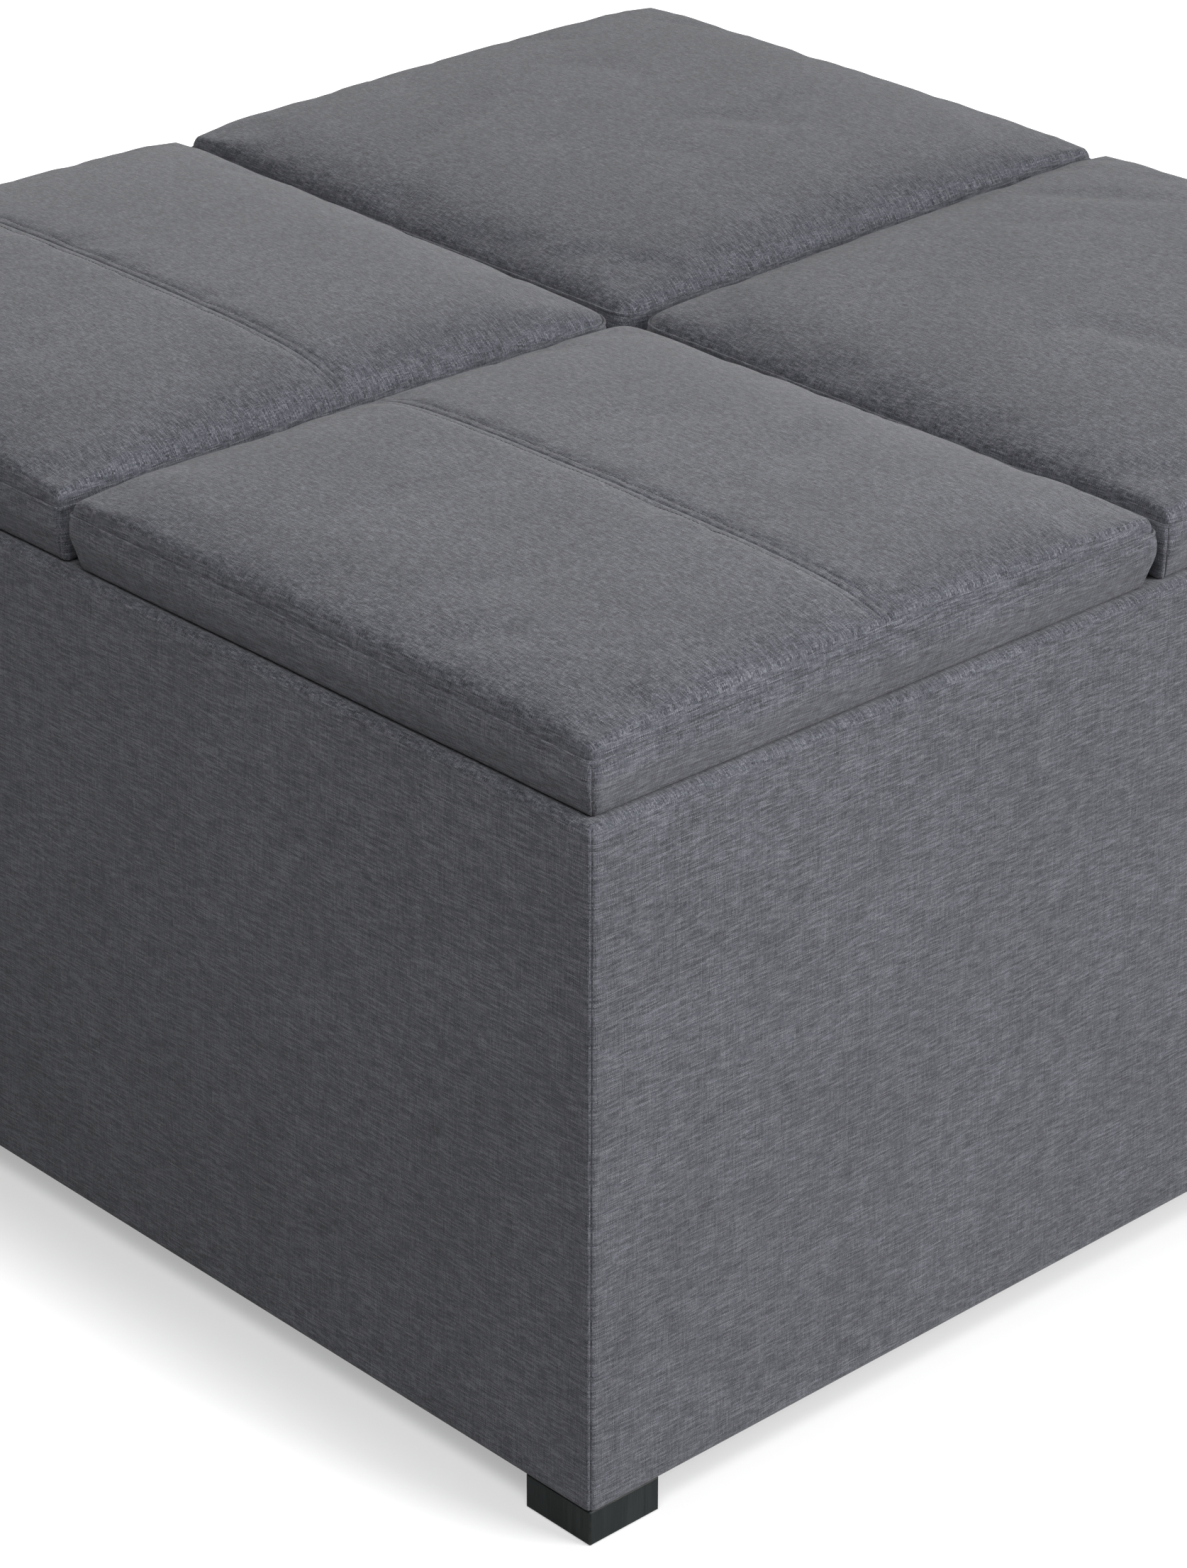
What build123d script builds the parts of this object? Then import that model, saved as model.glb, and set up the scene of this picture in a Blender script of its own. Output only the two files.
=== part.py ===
"""Square storage ottoman: a padded, fabric-covered case with four compartments under four lift-off lids.

Millimetres. The origin is on the floor under the centre of the case, +X to the right, +Y to the rear, +Z up.
Every lid is a box cushion on its upper side and a rimmed wooden tray on its underside.
"""

import os

from build123d import *

# Overall size, over the fabric
overall_width = 786.0
overall_depth = 786.0
case_height = 378.0
foot_height = 20.0

# Soft layers
fabric_thickness = 1.2
padding_thickness = 6.0
lining_thickness = 0.8
dust_cloth_thickness = 0.6
rim_turn_in = 30.0
underside_turn_in = 60.0
dust_cloth_hem = 5.0
dust_cloth_foot_clearance = 2.0

# Case boards
wall_thickness = 15.0
floor_thickness = 12.0
divider_thickness = 18.0
cleat_width = 20.0
cleat_height = 20.0
corner_block_side = 90.0
board_fit = 0.3

# Feet
foot_side = 47.0
foot_inset = 1.5
foot_edge = 0.8
foot_screw_edge = 2.5
foot_screw_recess = 2.0

# Lids
lid_gap = 4.0
lid_rest_gap = 0.3
lid_side_height = 31.7
lid_crown = 23.5
lid_crown_shoulder = 32.0
lid_corner_radius = 8.0
lid_board_thickness = 9.0
lid_board_inset = 8.0

# Trays on the lids' undersides
tray_clearance = 3.0
rail_width = 15.0
rail_height = 22.0
rail_round = 3.0
tray_panel_thickness = 3.0
tray_panel_fit = 0.3

# Fasteners
screw_shank = 4.0
screw_head = 8.0
screw_head_depth = 2.4
screw_hole_clearance = 0.1
wall_screw_bite = 30.0
wall_screw_count = 3
divider_screw_bite = 28.5
divider_screw_count = 2
floor_screw_bite = 16.0
floor_screw_count = 3
foot_screw_bite = 15.8
rim_screw_bite = 17.8
rim_screw_count = 2
screw_end_margin = 60.0
staple_crown = 11.0
staple_leg = 8.0
staple_wire = 0.7
staple_count = 7
staple_end_margin = 100.0

# Levels
case_bottom = foot_height
rim_level = case_bottom + case_height
board_bottom = case_bottom + fabric_thickness
board_top = rim_level - fabric_thickness
floor_bottom = board_bottom + cleat_height
floor_top = floor_bottom + floor_thickness
turn_in_bottom = board_top - rim_turn_in
lid_bottom = rim_level + lid_rest_gap
lid_board_bottom = lid_bottom + fabric_thickness
lid_board_top = lid_board_bottom + lid_board_thickness

# Distances of each layer's faces from the centre planes, as (x, y)
cover_out = (overall_width / 2, overall_depth / 2)
padding_out = tuple(c - fabric_thickness for c in cover_out)
wall_out = tuple(c - padding_thickness for c in padding_out)
wall_in = tuple(c - wall_thickness for c in wall_out)
turn_in_face = tuple(c - fabric_thickness for c in wall_in)
divider_end = tuple(c - board_fit for c in turn_in_face)
floor_edge = tuple(c - board_fit for c in wall_in)

# Lid and tray sizes, as (x, y)
lid_size = tuple(c - lid_gap / 2 for c in cover_out)
lid_centre = tuple((lid_gap + s) / 2 for s in lid_size)
tray_inset = fabric_thickness + padding_thickness + wall_thickness + fabric_thickness + tray_clearance
tray_size = tuple(s - 2 * tray_inset for s in lid_size)
tray_inside = tuple(s - 2 * rail_width for s in tray_size)

# Screw lengths: the layers that each screw passes, and its bite
wall_screw_length = wall_thickness + wall_screw_bite
divider_screw_length = wall_thickness + fabric_thickness + board_fit + divider_screw_bite
floor_screw_length = floor_thickness + floor_screw_bite
foot_screw_length = foot_height - foot_screw_recess + fabric_thickness + foot_screw_bite
rim_screw_length = lid_board_thickness + fabric_thickness + rim_screw_bite

# The staples run under the middle of each wall
staple_line = tuple(c - wall_thickness / 2 for c in wall_out)
dust_cloth_edge = tuple(c + dust_cloth_hem for c in staple_line)

CORNERS = {
    "front_left": (-1, -1),
    "front_right": (1, -1),
    "rear_left": (-1, 1),
    "rear_right": (1, 1),
}

nodes = {}


def block(x, y, z):
    """A box between a low and a high limit on each axis."""
    limits = (x, y, z)
    sizes = [high - low for low, high in limits]
    middle = [(low + high) / 2 for low, high in limits]
    return Pos(*middle) * Box(*sizes)


def centred_block(half, z):
    """A box that is centred on the origin in X and Y."""
    return block((-half[0], half[0]), (-half[1], half[1]), z)


def evenly(low, high, count):
    """Evenly spaced values from low to high, or their middle when there is one."""
    if count == 1:
        return [(low + high) / 2]
    return [low + (high - low) * i / (count - 1) for i in range(count)]


def screw(length, grow=0.0):
    """A countersunk screw: head face at the origin, shank along -Z. grow widens it into its own hole."""
    shank = screw_shank / 2 + grow
    head = screw_head / 2 + grow
    end = -length - grow
    profile = Polyline((0, 0), (head, 0), (shank, -screw_head_depth), (shank, end), (0, end), close=True)
    return revolve(Plane.XZ * make_face(profile), Axis.Z)


def screws(places, length, grow=0.0):
    """A screw, or its hole, at each place."""
    return [place * screw(length, grow) for place in places]


def drilled(board, places, length):
    """The board with a hole for each screw."""
    return board - screws(places, length, screw_hole_clearance)


def facing(direction, point):
    """A place at a point, whose +Z looks along direction."""
    return Plane(origin=point, z_dir=direction).location


# Case boards and their screws


def wall_screw_places():
    """Screws through the front and rear walls into the ends of the side walls."""
    x = wall_out[0] - wall_thickness / 2
    heights = evenly(board_bottom + screw_end_margin, board_top - screw_end_margin, wall_screw_count)
    return [
        facing((0, sy, 0), (sx * x, sy * wall_out[1], z))
        for sx in (-1, 1) for sy in (-1, 1) for z in heights
    ]


def divider_screw_places():
    """Screws through the walls into the ends of both dividers."""
    low = floor_top + screw_end_margin
    high = turn_in_bottom - screw_end_margin
    places = []
    for side in (-1, 1):
        for z in evenly(low, high, divider_screw_count):
            places.append(facing((side, 0, 0), (side * wall_out[0], 0, z)))
            places.append(facing((0, side, 0), (0, side * wall_out[1], z)))
    return places


def floor_screw_places():
    """Screws through the floor panel down into the cleats."""
    places = []
    reach = tuple(c - corner_block_side - screw_end_margin for c in wall_in)
    inset = tuple(c - cleat_width / 2 for c in wall_in)
    for side in (-1, 1):
        for x in evenly(-reach[0], reach[0], floor_screw_count):
            places.append(Pos(x, side * inset[1], floor_top))
        for y in evenly(-reach[1], reach[1], floor_screw_count):
            places.append(Pos(side * inset[0], y, floor_top))
    return places


def foot_centre(sx, sy):
    """The middle of a foot in plan."""
    inset = foot_inset + foot_side / 2
    return sx * (cover_out[0] - inset), sy * (cover_out[1] - inset)


def foot_screw_places():
    """Two screws up through each foot into its corner block, clear of the walls above."""
    wall_inset = cover_out[0] - wall_in[0]
    near = wall_inset + screw_shank / 2 + foot_screw_edge
    far = foot_inset + foot_side - screw_head / 2 - foot_screw_edge
    places = []
    for sx, sy in CORNERS.values():
        for inset_x, inset_y in ((near, far), (far, near)):
            point = (sx * (cover_out[0] - inset_x), sy * (cover_out[1] - inset_y), foot_screw_recess)
            places.append(facing((0, 0, -1), point))
    return places


def staple_places():
    """Places of the staples that hold the dust cloth under the walls, each with its crown along X."""
    places = []
    reach = tuple(c - staple_end_margin for c in cover_out)
    level = case_bottom - dust_cloth_thickness
    for side in (-1, 1):
        for x in evenly(-reach[0], reach[0], staple_count):
            places.append(Pos(x, side * staple_line[1], level))
        for y in evenly(-reach[1], reach[1], staple_count):
            places.append(Pos(side * staple_line[0], y, level) * Rot(0, 0, 90))
    return places


def staple_legs(place):
    """The two legs of a staple, driven up from its place."""
    half = staple_wire / 2
    legs = []
    for side in (-1, 1):
        x = side * (staple_crown - staple_wire) / 2
        legs.append(place * block((x - half, x + half), (-half, half), (0, staple_leg)))
    return legs


def staple(place):
    """A whole staple: a crown below the cloth and two legs."""
    half = staple_wire / 2
    crown = place * block((-staple_crown / 2, staple_crown / 2), (-half, half), (-staple_wire, 0))
    return crown + staple_legs(place)


ALL_STAPLE_LEGS = [leg for place in staple_places() for leg in staple_legs(place)]


def make_walls():
    """Four boards: front and rear run the whole width, left and right stand between them."""
    z = (board_bottom, board_top)
    boards = {
        "front_panel": block((-wall_out[0], wall_out[0]), (-wall_out[1], -wall_in[1]), z),
        "rear_panel": block((-wall_out[0], wall_out[0]), (wall_in[1], wall_out[1]), z),
        "left_panel": block((-wall_out[0], -wall_in[0]), (-wall_in[1], wall_in[1]), z),
        "right_panel": block((wall_in[0], wall_out[0]), (-wall_in[1], wall_in[1]), z),
    }
    for name, board in boards.items():
        board = drilled(board, wall_screw_places(), wall_screw_length)
        board = drilled(board, divider_screw_places(), divider_screw_length)
        nodes[name] = board - ALL_STAPLE_LEGS


def make_floor():
    """The floor panel, its cleats and the blocks that take the feet, all under the compartments."""
    floor = centred_block(floor_edge, (floor_bottom, floor_top))
    nodes["floor_panel"] = drilled(floor, floor_screw_places(), floor_screw_length)

    z = (board_bottom, floor_bottom)
    along = tuple(c - corner_block_side - board_fit for c in wall_in)
    cleats = []
    for side in (-1, 1):
        y = sorted((side * wall_in[1], side * (wall_in[1] - cleat_width)))
        x = sorted((side * wall_in[0], side * (wall_in[0] - cleat_width)))
        cleats.append(block((-along[0], along[0]), y, z))
        cleats.append(block(x, (-along[1], along[1]), z))
    nodes["floor_cleats"] = [drilled(c, floor_screw_places(), floor_screw_length) for c in cleats]

    blocks = []
    for sx, sy in CORNERS.values():
        x = sorted((sx * wall_in[0], sx * (wall_in[0] - corner_block_side)))
        y = sorted((sy * wall_in[1], sy * (wall_in[1] - corner_block_side)))
        blocks.append(drilled(block(x, y, z), foot_screw_places(), foot_screw_length))
    nodes["corner_blocks"] = blocks


def make_dividers():
    """Two boards that cross in a half lap and part the case into four compartments."""
    half = divider_thickness / 2
    slot = half + board_fit
    lap = (floor_top + board_top) / 2
    z = (floor_top, board_top)
    along_x = block((-divider_end[0], divider_end[0]), (-half, half), z)
    along_y = block((-half, half), (-divider_end[1], divider_end[1]), z)
    along_x -= block((-slot, slot), (-half, half), (lap, board_top))
    along_y -= block((-half, half), (-slot, slot), (floor_top, lap))
    nodes["long_divider"] = drilled(along_x, divider_screw_places(), divider_screw_length)
    nodes["cross_divider"] = drilled(along_y, divider_screw_places(), divider_screw_length)


def make_case_fasteners():
    """Each kind of screw, and the staples, as a group."""
    nodes["wall_screws"] = screws(wall_screw_places(), wall_screw_length)
    nodes["divider_screws"] = screws(divider_screw_places(), divider_screw_length)
    nodes["floor_screws"] = screws(floor_screw_places(), floor_screw_length)
    nodes["foot_screws"] = screws(foot_screw_places(), foot_screw_length)
    nodes["dust_cloth_staples"] = [staple(place) for place in staple_places()]


# Soft layers of the case


def make_padding():
    """A foam sheet on the outside of each wall."""
    z = (board_bottom, board_top)
    full = (-padding_out[0], padding_out[0])
    between = (-wall_out[1], wall_out[1])
    nodes["front_padding"] = block(full, (-padding_out[1], -wall_out[1]), z)
    nodes["rear_padding"] = block(full, (wall_out[1], padding_out[1]), z)
    nodes["left_padding"] = block((-padding_out[0], -wall_out[0]), between, z)
    nodes["right_padding"] = block((wall_out[0], padding_out[0]), between, z)


def make_case_cover():
    """The sewn sleeve: over the padding, over the rim and down inside, and under the bottom edge."""
    cover = centred_block(cover_out, (case_bottom, rim_level))
    cover -= centred_block(padding_out, (board_bottom, turn_in_bottom))
    mouth = centred_block(turn_in_face, (turn_in_bottom, rim_level))
    hidden = centred_block(padding_out, (turn_in_bottom, board_top)) - centred_block(
        wall_in, (turn_in_bottom, board_top)
    )
    underside = tuple(c - underside_turn_in for c in cover_out)
    opening = centred_block(underside, (case_bottom, board_bottom))
    cover = cover - mouth - hidden - opening - ALL_STAPLE_LEGS
    nodes["case_cover"] = drilled(cover, foot_screw_places(), foot_screw_length)


def divider_cross(half, ends, z):
    """A cross in plan, with arms along X and Y."""
    along_x = block((-ends[0], ends[0]), (-half, half), z)
    along_y = block((-half, half), (-ends[1], ends[1]), z)
    return along_x + along_y


def make_divider_cover():
    """Fabric folded over the top edges of both dividers."""
    half = divider_thickness / 2
    fold = divider_cross(half + fabric_thickness, divider_end, (turn_in_bottom, rim_level))
    nodes["divider_cover"] = fold - divider_cross(half, divider_end, (turn_in_bottom, board_top))


def make_linings():
    """A thin open box of lining cloth in each compartment, up to the fabric turned in at the rim."""
    half = divider_thickness / 2
    t = lining_thickness
    for name, (sx, sy) in CORNERS.items():
        x = sorted((sx * half, sx * wall_in[0]))
        y = sorted((sy * half, sy * wall_in[1]))
        outside = block(x, y, (floor_top, turn_in_bottom))
        inside = block((x[0] + t, x[1] - t), (y[0] + t, y[1] - t), (floor_top + t, turn_in_bottom))
        nodes["lining_" + name] = outside - inside


def make_dust_cloth():
    """A cloth under the case, cut away around each foot."""
    level = (case_bottom - dust_cloth_thickness, case_bottom)
    cloth = centred_block(dust_cloth_edge, level)
    cut = foot_side / 2 + dust_cloth_foot_clearance
    for sx, sy in CORNERS.values():
        x, y = foot_centre(sx, sy)
        cloth -= block((x - cut, x + cut), (y - cut, y + cut), level)
    nodes["dust_cloth"] = cloth - ALL_STAPLE_LEGS


def make_feet():
    """Four square block feet, their edges broken, drilled for the screws."""
    for name, (sx, sy) in CORNERS.items():
        x, y = foot_centre(sx, sy)
        foot = Pos(x, y, foot_height / 2) * Box(foot_side, foot_side, foot_height)
        foot = chamfer(foot.edges(), foot_edge)
        counterbores = [
            place * Pos(0, 0, foot_screw_recess / 2)
            * Cylinder(screw_head / 2 + screw_hole_clearance, foot_screw_recess)
            for place in foot_screw_places()
        ]
        nodes["foot_" + name] = drilled(foot, foot_screw_places(), foot_screw_length) - counterbores


# Lids


def crowned_block(size, radius, bottom, side_height, crown):
    """A box with rounded upright corners and a shallow hipped top."""
    outline = RectangleRounded(size[0], size[1], radius)
    sides = extrude(Pos(0, 0, bottom) * outline, side_height)
    top = RectangleRounded(size[0] - 2 * lid_crown_shoulder, size[1] - 2 * lid_crown_shoulder, radius)
    seam_level = bottom + side_height
    hip = loft([Pos(0, 0, seam_level) * outline, Pos(0, 0, seam_level + crown) * top])
    return sides + hip


def shrunk(size, amount):
    """A size less the same amount on every side."""
    return tuple(s - 2 * amount for s in size)


def rim_screw_places():
    """Screws down through the lid's board into the middle of each rail."""
    x = (tray_size[0] - rail_width) / 2
    y = (tray_size[1] - rail_width) / 2
    places = []
    for side in (-1, 1):
        for along in evenly(screw_end_margin - tray_size[0] / 2, tray_size[0] / 2 - screw_end_margin, rim_screw_count):
            places.append(Pos(along, side * y, lid_board_top))
        for along in evenly(screw_end_margin - tray_size[1] / 2, tray_size[1] / 2 - screw_end_margin, rim_screw_count):
            places.append(Pos(side * x, along, lid_board_top))
    return places


def rail(length, reach):
    """A mitred rail along X, its outer face at y = -reach, with both lower edges rounded."""
    half = length / 2
    plan = make_face(
        Polyline(
            (-half, -reach),
            (half, -reach),
            (half - rail_width, rail_width - reach),
            (rail_width - half, rail_width - reach),
            close=True,
        )
    )
    solid = extrude(Pos(0, 0, lid_bottom - rail_height) * plan, rail_height)
    lower = solid.edges().filter_by(Axis.X).group_by(Axis.Z)[0]
    return fillet(lower, rail_round)


def tray_rim():
    """Four mitred rails around the tray."""
    half = tuple(s / 2 for s in tray_size)
    rails = []
    for turn in (0, 90, 180, 270):
        sideways = turn % 180 == 90
        length = tray_size[1] if sideways else tray_size[0]
        reach = half[0] if sideways else half[1]
        rails.append(Rot(0, 0, turn) * rail(length, reach))
    return [drilled(r, rim_screw_places(), rim_screw_length) for r in rails]


def lid_board():
    """The board that the cushion is built on."""
    size = shrunk(lid_size, fabric_thickness + lid_board_inset)
    half = tuple(s / 2 for s in size)
    return centred_block(half, (lid_board_bottom, lid_board_top))


def lid_cushion(inset):
    """The cushion's form, inset from the outside of its cover on every side."""
    return crowned_block(
        shrunk(lid_size, inset),
        lid_corner_radius - inset,
        lid_bottom + inset,
        lid_side_height - inset,
        lid_crown - inset,
    )


def lid_pieces():
    """Every piece of one lid, centred on the origin in X and Y."""
    tray_panel_half = tuple(s / 2 - tray_panel_fit for s in tray_inside)
    tray_opening = centred_block(tuple(s / 2 for s in tray_inside), (lid_bottom, lid_board_bottom))
    cover = lid_cushion(0) - lid_cushion(fabric_thickness) - tray_opening
    return {
        "lid_cover": drilled(cover, rim_screw_places(), rim_screw_length),
        "lid_foam": lid_cushion(fabric_thickness) - lid_board(),
        "lid_board": drilled(lid_board(), rim_screw_places(), rim_screw_length),
        "tray_panel": centred_block(tray_panel_half, (lid_board_bottom - tray_panel_thickness, lid_board_bottom)),
        "tray_rim": tray_rim(),
        "rim_screws": screws(rim_screw_places(), rim_screw_length),
    }


def make_lids():
    """Four equal lids, a gap apart."""
    pieces = lid_pieces()
    for corner, (sx, sy) in CORNERS.items():
        place = Pos(sx * lid_centre[0], sy * lid_centre[1], 0)
        for name, piece in pieces.items():
            solids = piece if isinstance(piece, list) else [piece]
            nodes[name + "_" + corner] = [place * s for s in solids]


def solids_of(shape):
    """All the solids of a shape or a list of shapes."""
    shapes = shape if isinstance(shape, list) else [shape]
    return [solid for s in shapes for solid in s.solids()]


def save_nodes():
    """One file per node, each holding its separate solids."""
    os.makedirs("parts", exist_ok=True)
    for name, shape in nodes.items():
        solids = solids_of(shape)
        export_step(Compound(children=solids), f"parts/{name}.step")
        print(name, len(solids))


make_walls()
make_floor()
make_dividers()
make_case_fasteners()
make_padding()
make_case_cover()
make_divider_cover()
make_linings()
make_dust_cloth()
make_feet()
make_lids()
save_nodes()
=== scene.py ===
# %% [markdown]
# # A square storage ottoman, dressed in linen
# The frame comes in already built: a boxed case with four compartments, and four lids that are a cushion on
# one side and a wooden tray on the other. This lesson dresses it. Soft pieces are made again as sewn cloth
# over foam, and the hard pieces stay and get their finishes. Everything is in metres.

# %% Load the frame
import math
import random

import bmesh
import bpy
import numpy as np
from mathutils import Matrix, Vector, noise


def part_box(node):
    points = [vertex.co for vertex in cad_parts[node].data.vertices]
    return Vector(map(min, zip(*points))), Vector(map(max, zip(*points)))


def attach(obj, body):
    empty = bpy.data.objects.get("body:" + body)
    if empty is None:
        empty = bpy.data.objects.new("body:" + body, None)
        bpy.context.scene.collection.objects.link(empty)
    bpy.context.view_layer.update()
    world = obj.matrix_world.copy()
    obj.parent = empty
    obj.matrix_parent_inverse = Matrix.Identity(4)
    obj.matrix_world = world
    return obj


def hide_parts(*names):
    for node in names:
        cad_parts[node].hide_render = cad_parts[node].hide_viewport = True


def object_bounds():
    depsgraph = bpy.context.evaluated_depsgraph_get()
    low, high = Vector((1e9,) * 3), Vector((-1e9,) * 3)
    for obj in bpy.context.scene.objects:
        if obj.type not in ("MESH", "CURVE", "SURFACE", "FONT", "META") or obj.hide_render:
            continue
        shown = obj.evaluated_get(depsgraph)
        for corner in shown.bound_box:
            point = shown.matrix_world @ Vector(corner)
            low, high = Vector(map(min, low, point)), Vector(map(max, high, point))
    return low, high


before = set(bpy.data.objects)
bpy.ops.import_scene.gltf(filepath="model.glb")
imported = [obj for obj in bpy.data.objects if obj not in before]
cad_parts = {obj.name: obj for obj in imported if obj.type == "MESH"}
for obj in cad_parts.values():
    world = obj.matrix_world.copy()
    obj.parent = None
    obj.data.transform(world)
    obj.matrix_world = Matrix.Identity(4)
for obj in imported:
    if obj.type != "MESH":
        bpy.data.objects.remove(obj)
frame_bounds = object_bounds()

MM = 0.001
CORNERS = {
    "front_left": (-1, -1),
    "front_right": (1, -1),
    "rear_left": (-1, 1),
    "rear_right": (1, 1),
}
scene = bpy.context.scene

# %% [markdown]
# ## Camera, lights and floor
# Furniture is shown from above one corner through a long lens, so that its upright edges stay upright. The
# camera is set by a place and three turns rather than by aiming at an empty, because yaw, pitch and roll
# can each be corrected on their own. A large soft light high on the right lights the tops and the right
# side. A weak one beside the camera lifts the near corner, so that the front grows darker as it goes back.
# Another shows the side that is turned away. The rest comes from the pale room, which is dimmer as a light
# than it looks: a white background needs that.

# %% Camera
CAMERA_PLACE = Vector((1.8470, -1.7512, 1.4129))
CAMERA_YAW, CAMERA_PITCH, CAMERA_ROLL = (math.radians(a) for a in (46.926, 26.500, 0.143))
CAMERA_LENS = 112.5

level_forward = Vector((-math.sin(CAMERA_YAW), math.cos(CAMERA_YAW), 0))
forward = level_forward * math.cos(CAMERA_PITCH) - Vector((0, 0, math.sin(CAMERA_PITCH)))
level_right = Vector((math.cos(CAMERA_YAW), math.sin(CAMERA_YAW), 0))
level_up = level_right.cross(forward)
right = level_right * math.cos(CAMERA_ROLL) + level_up * math.sin(CAMERA_ROLL)
up = level_up * math.cos(CAMERA_ROLL) - level_right * math.sin(CAMERA_ROLL)

camera = bpy.data.objects.new("camera", bpy.data.cameras.new("camera"))
scene.collection.objects.link(camera)
camera.data.lens = CAMERA_LENS
camera.data.sensor_width = 36
camera.matrix_world = Matrix.Translation(CAMERA_PLACE) @ Matrix((right, up, -forward)).transposed().to_4x4()
scene.camera = camera
scene.view_settings.view_transform = "Standard"
print("camera: %.1f mm lens, %.2f m from the middle" % (CAMERA_LENS, CAMERA_PLACE.length))

# %% Lights and surroundings
# Places and sizes are in metres, powers in watts
AIM = Vector((0, 0, 0.25))
KEY_PLACE = Vector((3.54, 1.29, 2.15))
KEY_SIZE = 2.0
KEY_POWER = 219.0
FILL_PLACE = Vector((1.10, -1.20, 1.90))
FILL_SIZE = 1.0
FILL_POWER = 36.0
BACK_PLACE = Vector((-2.60, 0.60, 1.00))
BACK_SIZE = 1.4
BACK_POWER = 40.0
ROOM_LIGHT = 0.09
ROOM_WHITE = 1.0


def soft_light(name, place, size, power):
    """A square area light that looks at the middle of the ottoman."""
    light = bpy.data.objects.new(name, bpy.data.lights.new(name, "AREA"))
    scene.collection.objects.link(light)
    light.data.shape = "SQUARE"
    light.data.size = size
    light.data.energy = power
    light.location = place
    light.visible_camera = False
    light.rotation_euler = (AIM - place).to_track_quat("-Z", "Y").to_euler()


soft_light("key_light", KEY_PLACE, KEY_SIZE, KEY_POWER)
soft_light("fill_light", FILL_PLACE, FILL_SIZE, FILL_POWER)
soft_light("back_light", BACK_PLACE, BACK_SIZE, BACK_POWER)

world = bpy.data.worlds.new("pale_room")
world.use_nodes = True
room = world.node_tree
background = room.nodes["Background"]
background.inputs["Color"].default_value = (0.98, 0.99, 1.0, 1)
seen = room.nodes.new("ShaderNodeMapRange")
seen.inputs["To Min"].default_value = ROOM_LIGHT
seen.inputs["To Max"].default_value = ROOM_WHITE
room.links.new(room.nodes.new("ShaderNodeLightPath").outputs["Is Camera Ray"], seen.inputs["Value"])
room.links.new(seen.outputs[0], background.inputs["Strength"])
scene.world = world
print("lights: a key of %.1f m, a fill of %.1f m, a back light and a pale room" % (KEY_SIZE, FILL_SIZE))

# %% [markdown]
# ## Helpers for shader nodes
# Every finish below is drawn by nodes, with no pictures. Written out in full, each node and link takes
# several lines, so a small wrapper gives the common ones a short name. It changes nothing about the nodes.


# %% A short hand for nodes
class Nodes:
    """A node tree with short ways to add nodes and feed their inputs."""

    def __init__(self, tree):
        self.tree = tree

    def add(self, kind, **settings):
        node = self.tree.nodes.new(kind)
        for name, value in settings.items():
            setattr(node, name, value)
        return node

    def feed(self, socket, value):
        if isinstance(value, bpy.types.NodeSocket):
            self.tree.links.new(value, socket)
        else:
            socket.default_value = value

    def maths(self, operation, *values):
        node = self.add("ShaderNodeMath", operation=operation)
        for socket, value in zip(node.inputs, values):
            self.feed(socket, value)
        return node.outputs[0]

    def blend(self, factor, a, b):
        """A value that goes from a to b."""
        node = self.add("ShaderNodeMix", data_type="FLOAT")
        for socket, value in zip((node.inputs[0], node.inputs[2], node.inputs[3]), (factor, a, b)):
            self.feed(socket, value)
        return node.outputs[0]

    def tint(self, factor, a, b, mode="MIX"):
        """A colour that goes from a to b."""
        node = self.add("ShaderNodeMix", data_type="RGBA", blend_type=mode)
        for socket, value in zip((node.inputs[0], node.inputs[6], node.inputs[7]), (factor, a, b)):
            self.feed(socket, value)
        return node.outputs[2]

    def step(self, value, low, high, out_low=0.0, out_high=1.0):
        """A smooth step of a value from low to high."""
        node = self.add("ShaderNodeMapRange", interpolation_type="SMOOTHSTEP")
        for socket, number in zip(node.inputs, (value, low, high, out_low, out_high)):
            self.feed(socket, number)
        return node.outputs[0]

    def vector(self, x, y, z):
        node = self.add("ShaderNodeCombineXYZ")
        for socket, value in zip(node.inputs, (x, y, z)):
            self.feed(socket, value)
        return node.outputs[0]

    def parts(self, vector):
        node = self.add("ShaderNodeSeparateXYZ")
        self.feed(node.inputs[0], vector)
        return node.outputs

    def noise(self, vector, scale, detail=2.0):
        node = self.add("ShaderNodeTexNoise")
        self.feed(node.inputs["Vector"], vector)
        self.feed(node.inputs["Scale"], scale)
        node.inputs["Detail"].default_value = detail
        return node.outputs[0]

    def group(self, tree, **values):
        """Places a node group; an underscore in a name stands for a space."""
        node = self.add("ShaderNodeGroup", node_tree=tree)
        for name, value in values.items():
            self.feed(node.inputs[name.replace("_", " ")], value)
        return node.outputs


def new_group(name, inputs, outputs):
    """An empty node group with float inputs and outputs, ready to be filled."""
    tree = bpy.data.node_groups.new(name, "ShaderNodeTree")
    for label, default in inputs.items():
        socket = tree.interface.new_socket(label, in_out="INPUT", socket_type="NodeSocketFloat")
        socket.default_value = default
    for label in outputs:
        tree.interface.new_socket(label, in_out="OUTPUT", socket_type="NodeSocketFloat")
    n = Nodes(tree)
    return tree, n, n.add("NodeGroupInput").outputs, n.add("NodeGroupOutput").inputs


def new_material(name, roughness, **shader_values):
    """A material with one Principled shader, and the numbers that are the same all over it."""
    material = bpy.data.materials.new(name)
    material.use_nodes = True
    n = Nodes(material.node_tree)
    shader = material.node_tree.nodes["Principled BSDF"]
    shader.inputs["Roughness"].default_value = roughness
    for label, value in shader_values.items():
        shader.inputs[label.replace("_", " ")].default_value = value
    return material, n, shader.inputs


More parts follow.
